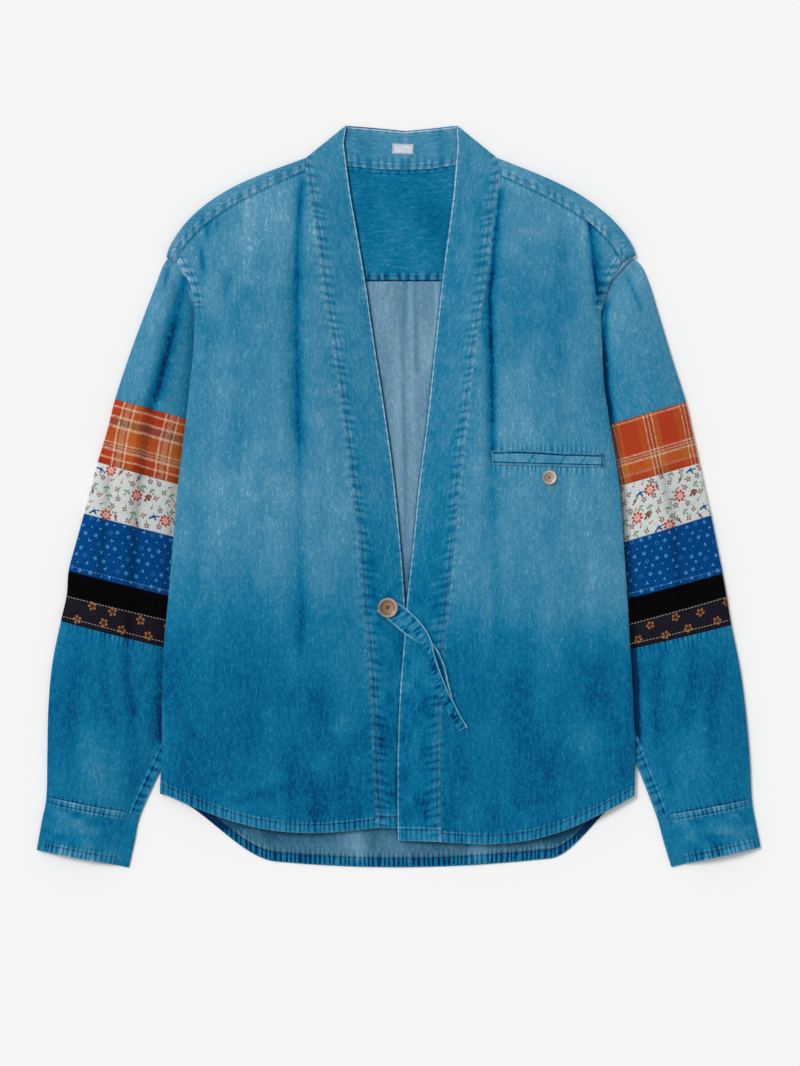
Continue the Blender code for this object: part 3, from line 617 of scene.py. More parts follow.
def add_cloth(name, grid, wear, fade, materials, closed=False, thickness=CLOTH, inside=0,
              gathers=(0.0, 0.0), grain=None):
    """A cloth piece from its grid, with its wear and painted shade, fade, gathers and flat
    coordinates.

    The gathers are two strengths: of creases that run down the cloth, and across it.  The
    grain is the column that the cloth's threads run along; without one they run up and down.
    """
    rows, columns = grid.shape[:2]
    piece = add_mesh(name, grid.reshape(-1, 3), grid_faces(rows, columns, closed), materials)
    set_value(piece, "wear", wear)
    set_value(piece, "fade", fade)
    set_value(piece, "gathers_down", np.broadcast_to(gathers[0], wear.shape))
    set_value(piece, "gathers_across", np.broadcast_to(gathers[1], wear.shape))
    if grain is None:
        set_cloth_map(piece, grid[..., 0], grid[..., 1])
    else:
        around = reach_across(grid)
        set_cloth_map(piece, around - around[:, grain:grain + 1], -reach_down(grid))
    thicken(piece, thickness, inside)
    CLOTHS[name] = Cloth(piece, grid, wear)
    return piece


# ---------------- how washed out the dye is

# How far it has faded at each level of the body, the band and the sleeves.
BODY_FADE = [(-390, 0.34), (-330, 0.32), (-290, 0.30), (-250, 0.32), (-200, 0.35),
             (-150, 0.42), (-110, 0.53), (-60, 0.65), (0, 0.69), (60, 0.67), (120, 0.65),
             (200, 0.63), (260, 0.74), (380, 0.80)]
BAND_FADE = [(-390, 0.27), (-300, 0.23), (-220, 0.23), (-120, 0.27), (0, 0.40), (100, 0.44),
             (300, 0.44), (345, 0.50), (390, 0.56)]
SLEEVE_FADE = [(-390, 0.44), (-330, 0.42), (-280, 0.40), (-230, 0.33), (-190, 0.33),
               (-150, 0.40), (60, 0.60), (110, 0.62), (180, 0.66), (250, 0.76)]
PALE_SPOTS = [(-80, -272, 20.0), (197, -251, 18.0), (-60, -236, 14.0)]      # x, y and size


def body_fade(x, y):
    """How washed out the body's denim is: pale above, deep towards the hem, in soft blotches."""
    fade = by_level(BODY_FADE, y + 16.0 * soft_noise(x, y, 70.0, 60.0, 5))
    fade += 0.08 * smooth(x / 80.0) * (bell(y + 110.0, 50.0) - bell(y - 200.0, 45.0))
    fade += 0.07 * soft_noise(x, y, 26.0, 90.0, 6) + 0.05 * soft_noise(x, y, 11.0, 40.0, 7)
    fade += (0.02 + 0.04 * smooth((y + 90.0) / 120.0)) * soft_noise(x, y, 12.0, 16.0, 4)
    for spot_x, spot_y, size in PALE_SPOTS:
        fade += 0.13 * bell(np.hypot(x - spot_x, y - spot_y), size)
    return fade


def band_fade(x, y):
    """The band's fade: deeper than the fronts', since it is made of more layers."""
    fade = by_level(BAND_FADE, y + 10.0 * soft_noise(x, y, 40.0, 40.0, 15))
    fade += 0.06 * soft_noise(x, y, 14.0, 60.0, 16)
    return fade + (0.05 + 0.05 * smooth((-60.0 - y) / 60.0)) * soft_noise(x, y, 9.0, 13.0, 14)


def sleeve_fade(x, y):
    """How washed out the sleeve's denim is: pale at the shoulder, deep towards the cuff."""
    fade = by_level(SLEEVE_FADE, y + 14.0 * soft_noise(x, y, 40.0, 40.0, 8))
    pale = np.where(x < 0.0, 0.15, 0.06) * bell(np.abs(x) - 307.0, 24.0) * bell(y + 262.0, 40.0)
    return fade + 0.06 * soft_noise(x, y, 14.0, 60.0, 9) + pale


# ---------------- fronts and band

def overlap_lift(x, y):
    """Extra height of the left front, which wraps over the right one below the V."""
    across = 1.0 - smooth((x - OVERLAP_EDGE_X) / OVERLAP_FADE)
    return OVERLAP_LIFT * across * smooth((OVERLAP_TOP_Y - y) / OVERLAP_RAMP)


def front_height(loft, share, x, y, side):
    """Height across a front, from the body's side (share 0) to the free edge (share 1).

    It is the line between the heights of both ends, plus
    loft * sin(pi * share^LOFT_SKEW)^LOFT_FULLNESS, less the folds.
    """
    crown = loft * np.sin(math.pi * share ** LOFT_SKEW) ** LOFT_FULLNESS
    fold = fold_depth(x, y, BODY_FOLDS) * np.minimum(loft / FULL_LOFT, 1.0)
    fold += 0.35 * soft_noise(x, y, 16.0, 60.0, 11) * smooth(crown / 4.0)
    height = mix(SIDE_MID, EDGE_MID, share) + crown - np.minimum(fold, DEEPEST_FOLD * crown)
    if side == "left":
        height += overlap_lift(x, y)
    return height


def shoulder_shape(across):
    """How the shoulder bows, from the armhole (0) to the neck (1); 1 at its highest."""
    return np.sin(math.pi * across ** SHOULDER_SKEW)


def front_table(side):
    """The side's front rows as four arrays: points at the side, the seam and the edge, and loft."""
    table = np.array(SIDES[side].front, float)
    return table[:, 0:2], table[:, 2:4], table[:, 4:6], table[:, 6:7]


def seam_share(outer, seam, edge):
    """Share of each line across the front that lies outside the band: outer is its side end."""
    front = np.linalg.norm(seam - outer, axis=-1, keepdims=True)
    band = np.linalg.norm(edge - seam, axis=-1, keepdims=True)
    return front / (front + band)


def front_grid(side, across, places):
    """A front's points: across from the body's side (0) to the band (1), at row numbers."""
    outer, seam, edge, loft = (through_rows(part, places) for part in front_table(side))
    down = (places / (len(SIDES[side].front) - 1))[:, None]
    x = mix(outer[:, :1], seam[:, :1], across)
    y = mix(outer[:, 1:], seam[:, 1:], across)
    y = y + YOKE_SEAM_BOW * shoulder_shape(across) * (1.0 - down) ** BOW_ONSET
    y = y - FRONT_HEM_DROP * np.sin(math.pi * across) * down ** BOW_ONSET
    share = across * seam_share(outer, seam, edge)
    return np.stack([x, y, front_height(loft, share, x, y, side)], axis=-1)


def front_line(side, across, row):
    """One line of points across a front, at a row number."""
    return front_grid(side, across, np.array([float(row)]))[0]


def band_grid(side, across, places):
    """The band's points: across from its seam (0) to its free edge (1), at row numbers."""
    outer, seam, edge, loft = (through_rows(part, places) for part in front_table(side))
    x = mix(seam[:, :1], edge[:, :1], across)
    y = mix(seam[:, 1:], edge[:, 1:], across)
    share = mix(seam_share(outer, seam, edge), 1.0, across)
    return np.stack([x, y, front_height(loft, share, x, y, side)], axis=-1)


def build_front(side, finishes):
    """The front panel, from the yoke seam to the hem, felled at the band and the armhole."""
    seam_path = front_table(side)[1]
    places = row_places(seam_path, graded(path_length(seam_path), fine=1.5, coarse=2.8, margin=16.0))
    grid = front_grid(side, graded(FRONT_WIDTH, fine=1.0, coarse=3.0, margin=9.0), places)
    edges = Edges(grid)
    x, y, z = np.moveaxis(grid, -1, 0)
    at_armhole = smooth((y - ARMHOLE_FOOT_Y) / 12.0)
    hem, hem_wear, hem_gathers = sewn_edge(edges.bottom, FRONT_HEM)
    arm, arm_wear, arm_gathers = (at_armhole * part for part in sewn_edge(edges.left, 8.0, 0.4))
    by_pocket = pocket_gathers(x, y) if side == "left" else 0.0
    z += hem + arm + 0.3 * by_pocket
    wear = hem_wear + 0.75 * arm_wear
    # A worn line at the band seam, and a dark line along the top edge: painted shadow under the yoke
    # strip's edge.
    wear += 0.35 * bell(edges.right, 1.3) - 0.9 * bell(edges.top - 1.0, 1.0)
    # Painted shade in the folds and painted light on the ridges, with the painted dark heart of the
    # crisp folds.
    wear -= 0.13 * fold_depth(x, y, BODY_FOLDS) + shade_depth(x, y, BODY_SHADES)
    down = np.maximum(0.7 * hem_gathers, 0.35 * bell(edges.top, 6.0))
    across = np.maximum(0.8 * arm_gathers, 0.30 * bell(edges.right, 6.0))
    front = add_cloth("shown_front_" + side, grid, wear, body_fade(x, y), finishes, inside=1,
                      gathers=(np.maximum(down, 0.9 * by_pocket), across))
    if side == "right":
        front.data.flip_normals()
    dress(front, "denim", "front_" + side)
    declare_cloth(front, [grid])


def turned_columns(low, high, outward, reach, steps):
    """Lines of points round a fold that bulges outward to reach, low and high its layers.

    Each is half a circle of radius (high - low) / 2 standing on the lower layer.
    """
    radius = (high - low) / 2.0
    centre = reach - outward * radius[:, None]
    turn = np.linspace(0.0, math.pi, steps)[:, None]
    bulge = radius * np.sin(turn)
    plan = centre + outward * bulge[..., None]
    height = low + radius * (1.0 - np.cos(turn))
    return np.concatenate([plan, height[..., None]], axis=-1)


def shoulder_fold(side, across):
    """Where the shoulder's fold lies, from the armhole (0) to the neck point (1)."""
    fold, shoulder = SIDES[side].fold, SIDES[side].shoulder
    x = mix(shoulder.x, fold.neck_x, across)
    y = mix(shoulder.y, fold.neck_y, across) + shoulder.bow * shoulder_shape(across)
    return np.stack([x, y], axis=-1)


EDGE_SHADE = {"right": 2.4, "left": 1.0}      # painted shadow at the free edge of the band


def neck_rows(side, across):
    """The band's lines of points round the back of the neck, flat on the surface."""
    neck = np.array(SIDES[side].neck, float)
    neck[0, 0::2] += SIDES[side].sign * SEAM_GAP
    plan = mix(neck[:, None, 0:2], neck[:, None, 2:4], across[:, None])
    return np.concatenate([plan, np.full((*plan.shape[:2], 1), FLOOR_MID)], axis=-1)


def side_fold_rows(side, across):
    """The band's lines of points round the fold at the side of the neck."""
    fold, inward = SIDES[side].fold, -SIDES[side].sign
    start = np.array([fold.neck_x, fold.neck_y], float)
    end = np.array([fold.edge_x, fold.edge_y], float)
    along = unit(end - start)
    edge_out = np.array([-along[1], along[0]]) * inward
    seam_top = front_line(side, np.array([1.0]), 0)[0, :2]
    seam_out = unit(shoulder_fold(side, 1.0) - seam_top)
    outward = unit(mix(seam_out, edge_out, across[:, None]))
    high = band_grid(side, across, np.array([0.0]))[0, :, 2]
    rows = turned_columns(FLOOR_MID, high, outward, mix(start, end, across[:, None]), 5)
    rows[:, 0, 0] += inward * GAP
    rows[0, 0, 1] += GAP
    return rows


def collar_grid(side):
    """Half the band's points: round the back neck, over the side fold, and down the front."""
    across = graded(BAND_WIDTH, fine=0.55, coarse=2.8, margin=2.2)
    seam_path = front_table(side)[1]
    places = row_places(seam_path, graded(path_length(seam_path), fine=1.7, coarse=2.1))
    lower = band_grid(side, across, places)
    lower[:, 0, 0] -= SIDES[side].sign * SEAM_GAP
    upper = np.concatenate([neck_rows(side, across), side_fold_rows(side, across)])
    centre_line = upper[:, len(across) // 2]
    shares = graded(path_length(centre_line), fine=1.3, coarse=2.2, at_end=False)
    upper = through_rows(np.concatenate([upper, lower[:1]]), row_places(centre_line, shares))
    return np.concatenate([upper, lower])


def build_collar(side, finishes):
    """Half the band collar, with its hem and both its long edges turned in and stitched."""
    grid = collar_grid(side)
    edges = Edges(grid)
    x, y, z = np.moveaxis(grid, -1, 0)
    seam, seam_wear, _ = sewn_edge(edges.left, 4.5, 0.45)
    free, free_wear, free_gathers = sewn_edge(edges.right, 3.2, 0.3)
    hem, hem_wear, hem_gathers = sewn_edge(edges.bottom, BAND_HEM, 0.3)
    # The rolled free edge is worn pale, with painted shade on its outer flank.
    rolled = 1.2 * bell(edges.right - 1.9, 0.8) - EDGE_SHADE[side] * bell(edges.right, 0.8)
    wear = 0.55 * seam_wear + 0.3 * free_wear + rolled + hem_wear + 0.6 * bell(edges.top, 1.2)
    relief = 0.7 * seam + 0.6 * free + 0.7 * hem
    z += 0.6 * np.maximum(relief, 0.0) + 0.4 * relief * smooth((z - 1.0) / 2.0)
    low = smooth((20.0 - y) / 120.0)
    spread = (5.0 + 5.0 * low) * (1.0 + 0.5 * soft_noise(x, y, 60.0, 26.0, 17))
    pulled = (0.66 - 0.16 * low) * bell(np.maximum(edges.left - 5.0, 0.0), spread)
    band = add_cloth("shown_collar_" + side, grid, wear, band_fade(x, y), finishes, grain=0,
                     gathers=(0.5 * hem_gathers, np.maximum(pulled, 0.35 * free_gathers)))
    if side == "left":
        band.data.flip_normals()
    dress(band, "denim", "collar_" + side)
    declare_cloth(band, [grid])


# ---------------- yoke and back

# A part of the yoke: its points and what is stored on them.
Part = namedtuple("Part", "grid wear fade gathers_across")


def yoke_shoulder(side, levels):
    """One shoulder of the yoke: its points on the back, then round the fold to the front seam."""
    cut = SIDES[side]
    across = graded(SHOULDER_WIDTH, fine=1.6, coarse=3.0, at_end=False, margin=8.0)
    seam = front_line(side, across, 0)
    fold = shoulder_fold(side, across)
    outward = unit(fold - seam[:, :2])
    low = mix(RAISED_MID, FLOOR_MID, smooth((across - 0.15) / 0.13))
    turn = turned_columns(low, seam[:, 2], outward, fold, 7)
    edge = np.concatenate([seam[:, :2] + outward * 2.0 * SEAM_GAP, seam[:, 2:]], axis=-1)
    strip = np.stack([mix(turn[-1], edge, share) for share in np.linspace(0, 1, 12)[1:]])
    foot_x = mix(cut.shoulder.back_x, cut.fold.neck_x, across)
    foot = np.stack([foot_x, np.full_like(foot_x, YOKE_SEAM_Y), low], axis=-1)
    behind = np.stack([mix(foot, turn[0], share) for share in levels])
    return behind, np.concatenate([turn, strip])


def yoke_middle(start, end, levels):
    """The yoke's points between the neck points start and end, up to the neck seam."""
    seam = np.array(NECK_RIGHT[:0:-1] + NECK_LEFT, float)[:, 0:2] - np.array([0.0, GAP])
    seam = np.concatenate([[start], seam, [end]])
    x = np.linspace(start[0], end[0], 66)
    floor = np.full_like(x, FLOOR_MID)
    top = np.stack([x, np.interp(x, seam[:, 0], seam[:, 1]), floor], axis=-1)
    foot = np.stack([x, np.full_like(x, YOKE_SEAM_Y), floor], axis=-1)
    return np.stack([mix(foot, top, share) for share in levels])


def yoke_sheet(sheet):
    """The yoke's flat part, felled at the back and turned in at the neck."""
    edges = Edges(sheet)
    x, y, z = np.moveaxis(sheet, -1, 0)
    back, back_wear, back_gathers = sewn_edge(edges.top, 6.0, 0.3)
    neck, neck_wear, neck_gathers = sewn_edge(edges.bottom, 3.0, 0.2)
    waves = 0.25 * soft_noise(x, y, 24.0, 40.0, 320)
    z += 0.8 * np.maximum(0.7 * back + 0.4 * neck + waves + 0.25, 0.0)
    # Painted light on the raised waves, painted shade where they sink.
    wear = 0.5 * back_wear - 1.6 * bell(edges.top, 1.3) - 0.5 * neck_wear + waves
    fade = 0.33 + 0.07 * soft_noise(x, y, 18.0, 30.0, 330)
    fade += 0.40 * smooth((np.abs(x) - 200.0) / 10.0)
    return Part(sheet, wear, fade, np.maximum(back_gathers, 0.5 * neck_gathers))


def yoke_strip(strip, sheet_edge):
    """The yoke over one shoulder: it goes on from the sheet's edge and is felled in front."""
    seam, seam_wear, seam_gathers = sewn_edge(Edges(strip).bottom, 5.0, 0.4)
    strip[0] = sheet_edge[:strip.shape[1]]
    strip[1:, :, 2] += 0.6 * (seam * smooth((strip[..., 2] - 3.0) / 2.0))[1:]
    fade = body_fade(strip[..., 0], strip[..., 1]) - 0.17
    return Part(strip, 0.42 * seam_wear, fade, 0.7 * seam_gathers)


def build_yoke(finishes):
    """The yoke: the upper back, folded over each shoulder to a narrow strip in front."""
    levels = graded(YOKE_LENGTH, fine=1.2, coarse=3.2, margin=12.0)
    (right, right_strip), (left, left_strip) = (yoke_shoulder(side, levels) for side in SIDES)
    middle = yoke_middle(right[-1, -1, :2], left[-1, -1, :2], levels)
    sheet = yoke_sheet(np.concatenate([right[:, :-1], middle, left[:, -2::-1]], axis=1))
    top = sheet.grid[-1]
    parts = [sheet, yoke_strip(right_strip, top), yoke_strip(left_strip, top[::-1])]

    points = np.concatenate([part.grid.reshape(-1, 3) for part in parts])
    firsts = np.cumsum([0] + [part.wear.size for part in parts])
    faces = [grid_faces(*part.wear.shape) + first for part, first in zip(parts, firsts)]
    yoke = add_mesh("shown_yoke", points, np.concatenate(faces), finishes)
    for name in ("wear", "fade", "gathers_across"):
        set_value(yoke, name, np.concatenate([getattr(part, name).ravel() for part in parts]))
    set_cloth_map(yoke, points[:, 1], points[:, 0])
    weld_and_turn_out(yoke)
    thicken(yoke)
    for name, part in zip(("shown_yoke", "yoke_strip_right", "yoke_strip_left"), parts):
        CLOTHS[name] = Cloth(yoke, part.grid, part.wear)
    dress(yoke, "denim", "yoke")
    declare_cloth(yoke, [part.grid for part in parts])


def body_side(side, y):
    """Where the body's side lies at this level."""
    path = front_table(side)[0][::-1]
    return np.interp(y, path[:, 1], path[:, 0])


def width_under_body(side, y):
    """How far a sleeve's inner part reaches under the body at this level."""
    sleeve = SIDES[side].sleeve
    top = sleeve[0]
    inner = np.array([(row.inner_y, abs(row.inner_x)) for row in sleeve[::-1]], float)
    below = np.interp(y, inner[:, 0], inner[:, 1])
    above = np.interp(y, [top.inner_y, top.outer_y], [abs(top.inner_x), abs(top.outer_x)])
    reach = np.where(y > top.inner_y, above, below)
    return np.maximum(np.abs(body_side(side, y)) - reach, NARROWEST_TUCK)


def hem_bow(across):
    """Shape of the back hem from side (0) to side (1): round corners, nearly level between."""
    right, left = BACK_HEM_CORNERS
    corner = smooth(np.minimum(across / right, (1.0 - across) / left))
    return mix(corner, np.sin(math.pi * across), BACK_HEM_SAG)


def back_grid():
    """The back's points, raised at its sides where the sleeves are tucked under it.

    It lies FLOOR_MID above the surface in the middle and eases up to RAISED_MID over
    BACK_TUCK_SLOPE beside each tucked sleeve.
    """
    levels = np.array(BACK_LEVELS)
    level_path = np.stack([np.zeros_like(levels), levels], axis=-1)
    shares = graded(levels[0] - levels[-1] + BACK_HEM_DROP, fine=1.5, coarse=4.8, margin=16.0)
    places = row_places(level_path, shares)
    level = np.interp(places, np.arange(len(levels)), levels)[:, None]
    across = graded(BACK_WIDTH, fine=1.8, coarse=3.6, margin=10.0)
    right, left = body_side("right", level), body_side("left", level)
    x = mix(right, left, across)
    from_right = x - right - width_under_body("right", level)
    from_left = left - x - width_under_body("left", level)
    inside = np.minimum(from_right, from_left) - BACK_TUCK_MARGIN
    height = mix(RAISED_MID, FLOOR_MID, smooth(inside / BACK_TUCK_SLOPE))
    down = (places / (len(levels) - 1))[:, None]
    y = level - BACK_HEM_DROP * hem_bow(across) * down ** HEM_ONSET
    return np.stack([x, y, height], axis=-1)


def front_hem_level(x):
    """Level of the front hems at these places across."""
    across = np.linspace(0.0, 1.0, 30)
    right, left = (front_line(side, across, len(SIDES[side].front) - 1) for side in SIDES)
    path = np.concatenate([right, left[::-1]])
    return np.interp(x, path[:, 0], path[:, 1])


def build_back(finishes):
    """The back panel, wrong side up, with its turned-up hem and the fronts' shade on it."""
    grid = back_grid()
    edges = Edges(grid)
    x, y, z = np.moveaxis(grid, -1, 0)
    hem, hem_wear, hem_gathers = sewn_edge(edges.bottom, BACK_HEM)
    creases = fold_depth(x, y, BACK_FOLDS)
    waves = 0.2 * soft_noise(x, y, 30.0, 70.0, 420) + 0.2
    z += np.maximum(0.8 * hem + waves - creases, 0.0)
    at_sides = smooth((np.abs(x - 2.0) - 150.0) / 50.0)
    # Painted shadow of the front hems on the back, broader and darker at the sides.
    shade = (0.3 + 2.2 * at_sides) * bell(np.abs(y - front_hem_level(x)), 7.0 + 7.0 * at_sides)
    # Painted light on the raised waves and the ridges, painted shade in the creases.
    wear = 0.8 * hem_wear + 0.4 * waves - 0.9 * creases - shade
    # Darker towards the hem: painted shade under the fronts.
    fade = 0.52 + 0.10 * soft_noise(x, y, 14.0, 50.0, 430) - 0.33 * smooth((-150.0 - y) / 150.0)
    back = add_cloth("shown_back", grid, wear, fade, finishes,
                     gathers=(np.maximum(hem_gathers, 0.25 * bell(edges.top, 8.0)), 0.0))
    set_value(back, "hem", edges.bottom)
    dress(back, "denim_inside", "back")
    declare_cloth(back, [grid])


# ---------------- sleeves

SLEEVE_COLUMNS = {"floor": 22, "inner": 6, "tucked": 12, "upper": 52, "outer": 9}


def level_run(start, end, count, height):
    """Rows of count points straight from start to end, all at their row's height."""
    plan = mix(start, end, np.linspace(0.0, 1.0, count)[:, None])
    return np.concatenate([plan, np.broadcast_to(height, plan.shape[:2])[..., None]], axis=-1)


def turned_edge(end, outward, radius, angles):
    """Rows of points round a fold: radius * sin(angle) past the end, 1 - cos(angle) radii up."""
    plan = end + outward * (radius * np.sin(angles))[..., None]
    height = np.broadcast_to(FLOOR_MID + radius * (1.0 - np.cos(angles)), plan.shape[:2])
    return np.concatenate([plan, height[..., None]], axis=-1)


def sleeve_height(x, y, loft, shares):
    """Height of a sleeve's upper side, at shares of the way from the body to the outer fold.

    It is the tucked height plus loft * sin(pi * SLEEVE_ROUND * share)^LOFT_FULLNESS, less
    the folds, which are left out at both ends.
    """
    crown = loft * np.sin(math.pi * SLEEVE_ROUND * shares) ** LOFT_FULLNESS
    within = np.sin(math.pi * np.minimum(shares, SLEEVE_ROUND))
    folds = fold_depth(x, y, SLEEVE_FOLDS) + 0.35 * soft_noise(x, y, 13.0, 44.0, 21)
    return TUCKED_MID + np.maximum(crown - folds * within, 0.0)


def sleeve_grid(side, places):
    """Rings round a sleeve at these row numbers, flat underneath and lofted above."""
    row = through_rows(np.array([row[1:] for row in SIDES[side].sleeve], float), places)
    outer, under, inner = row[:, None, 0:2], row[:, None, 2:4], row[:, None, 4:6]
    loft = np.maximum(row[:, 6:7], 0.0)
    outward = unit(outer - inner)
    start = under + outward * SLEEVE_CLEAR
    inner_radius = (TUCKED_MID - FLOOR_MID) / 2.0
    outer_height = TUCKED_MID + loft * math.sin(math.pi * SLEEVE_ROUND) ** LOFT_FULLNESS
    outer_radius = (outer_height - FLOOR_MID) / 2.0
    outer_end = outer - outward * outer_radius[..., None]
    inner_end = inner + outward * inner_radius

    count = SLEEVE_COLUMNS
    floor = level_run(outer_end, inner_end, count["floor"], FLOOR_MID)
    angles = np.linspace(0.0, math.pi, count["inner"])[1:-1]
    inner_turn = turned_edge(inner_end, -outward, inner_radius, angles)
    tucked = level_run(inner_end, start, count["tucked"], TUCKED_MID)[:, :-1]
    upper = level_run(start, outer_end, count["upper"], TUCKED_MID)
    shares = np.linspace(0.0, 1.0, count["upper"])
    upper[..., 2] = sleeve_height(upper[..., 0], upper[..., 1], loft, shares)
    angles = np.linspace(math.pi, 0.0, count["outer"])[1:-1]
    outer_turn = turned_edge(outer_end, outward, outer_radius, angles)
    return np.concatenate([floor, inner_turn, tucked, upper, outer_turn], axis=1)


def shown_above(columns):
    """1 on the columns of a sleeve's rings that show from above, easing to 0 at both ends.

    It comes with the number of their middle column.
    """
    count = SLEEVE_COLUMNS
    first = count["floor"] + count["inner"] - 2 + count["tucked"] - 1
    shown = np.zeros(columns)
    shown[first:first + count["upper"]] = np.sin(np.linspace(0.0, math.pi, count["upper"])) ** 0.3
    return shown, first + count["upper"] // 2


# Painted shadow in the fold beside the body: how deep, over what width, and between what levels.
SHADE_BESIDE_BODY = {"right": (0.4, 8.0), "left": (1.4, 4.5)}
BESIDE_BODY_Y = (208.0, -262.0)
SLEEVE_SEAM_Y = -225.0      # the felled seam along a sleeve shows below this level
# The material slot of each sleeve piece.
SLEEVE_PIECES = {
    "upper": "denim", "plaid": "plaid", "floral": "floral", "blue": "blue_print",
    "black": "velvet", "dark": "dark_print", "lower": "denim", "cuff": "denim",
}


def sleeve_seams(piece, grid, down, from_bottom):
    """Relief, wear and gathers at the upper and lower end of a sleeve's piece, and on a cuff the
    painted light and shade of its creases.
    """
    turned_under = 0.45 * bell(down, 1.2) + 0.45 * bell(from_bottom, 1.2)
    nought = np.zeros_like(down)
    if piece == "cuff":
        top, top_wear, top_gathers = sewn_edge(down, 6.0)
        hem, hem_wear, hem_gathers = sewn_edge(from_bottom, CUFF_HEM)
        # The cuff's creases raise the cloth and tone it: painted light on their tops, painted shade
        # between them.
        creased = soft_noise(grid[..., 0] + 0.3 * grid[..., 1], grid[..., 1], 13.0, 8.0, 31)
        return (top + hem + 0.5 * creased, top_wear + hem_wear + 0.45 * creased,
                np.maximum(top_gathers, hem_gathers))
    if piece == "lower":
        gathers = np.maximum(0.7 * bell(from_bottom, 6.0), 0.6 * bell(down, 10.0))
        return -turned_under, -0.9 * bell(from_bottom, 1.2), gathers
    return -turned_under, nought, nought


def sleeve_shade(side, x, y, shown):
    """Painted shade in the sleeve's folds and painted shadow in the one beside the body, less on what
    is hidden.
    """
    beside = SIDES[side].sign * (x - body_side(side, y)) - 2.0
    along_body = smooth((BESIDE_BODY_Y[0] - y) / SHADE_END)
    along_body *= smooth((y - BESIDE_BODY_Y[1]) / SHADE_END)
    depth, width = SHADE_BESIDE_BODY[side]
    in_sight = np.where((shown > 0.0) | (beside > -3.0), 1.0, 0.4)
    return (depth * along_body * bell(beside, width) + shade_depth(x, y, SLEEVE_SHADES)) * in_sight


def build_sleeve_piece(side, piece, slot, places, finishes):
    """One sewn piece of a sleeve: closed rings with both ends turned under."""
    grid = sleeve_grid(side, places)
    x, y, z = np.moveaxis(grid, -1, 0)
    down, around = reach_down(grid), reach_across(grid)
    shown, grain = shown_above(grid.shape[1])
    relief, wear, gathers = sleeve_seams(piece, grid, down, down[-1:] - down)
    z += relief * shown * (z > TUCKED_MID)
    # Painted shade in the folds and painted light on the ridges, with the painted shade of
    # sleeve_shade.
    wear = wear * shown - 0.15 * fold_depth(x, y, SLEEVE_FOLDS) - sleeve_shade(side, x, y, shown)
    across = 0.0 * wear
    if piece == "lower":
        inner = SLEEVE_COLUMNS["floor"] + SLEEVE_COLUMNS["inner"] // 2
        from_seam = around - around[:, inner:inner + 1]
        felled = smooth(np.minimum((SLEEVE_SEAM_Y - y) / 12.0, from_seam + 0.5))
        seam_wear, seam_gathers = sewn_edge(np.abs(from_seam), 8.5)[1:]
        wear = mix(wear, seam_wear - 0.25 * (from_seam < 8.0), felled * (from_seam < 12.0))
        across = 0.6 * felled * seam_gathers * (from_seam < 14.0)
    gathers = gathers * shown
    if side == "left":
        grain = grid.shape[1] - 1 - grain
        grid, wear, gathers, across = (part[:, ::-1] for part in (grid, wear, gathers, across))
    denim = slot == "denim"
    node = f"cuff_{side}" if piece == "cuff" else f"sleeve_{side}_{piece}"
    outside = finishes.get(f"{slot}_{side}", finishes.get(slot))
    cloth = add_cloth("shown_" + node, grid, wear, sleeve_fade(grid[..., 0], grid[..., 1]),
                      [outside, finishes["denim_inside"]], closed=True, inside=int(denim),
                      grain=grain if denim else 0, gathers=(gathers, across))
    dress(cloth, slot, node)
    declare_cloth(cloth, [np.concatenate([grid, grid[:, :1]], axis=1)])


def build_sleeve(side, finishes):
    """The sleeve, ring by ring from the armhole to the cuff."""
    rows = SIDES[side].sleeve
    names = [row.piece for row in rows]
    middles = np.array([[(row.outer_x + row.under_x) / 2, (row.outer_y + row.under_y) / 2]
                        for row in rows])
    for piece, slot in SLEEVE_PIECES.items():
        start = names.index(piece)
        path = middles[start:start + names.count(piece) + 1]
        shares = graded(path_length(path), fine=1.0, coarse=2.6, margin=6.0)
        places = start + row_places(path, shares)
        build_sleeve_piece(side, piece, slot, places, finishes)


# ---------------- colours of the cloths

THREADS_A_METRE = 900.0     # scale of the weave's noise
STRIPE_BLUR = 0.016         # over what share of a repeat one stripe runs into the next

# Colour by how far the dye has faded, for the denim's right side and its wrong side.
DENIM_STOPS = [(0.0, "002a50"), (0.10, "004a76"), (0.22, "02638d"), (0.36, "127298"),
               (0.52, "3a81a3"), (0.68, "5491ad"), (0.82, "7aa8c6"), (1.0, "a8c6dc")]
INSIDE_STOPS = [(0.0, "1f506c"), (0.25, "457690"), (0.5, "6089a3"), (0.75, "7fa3b8"),
                (1.0, "a4c0cc")]

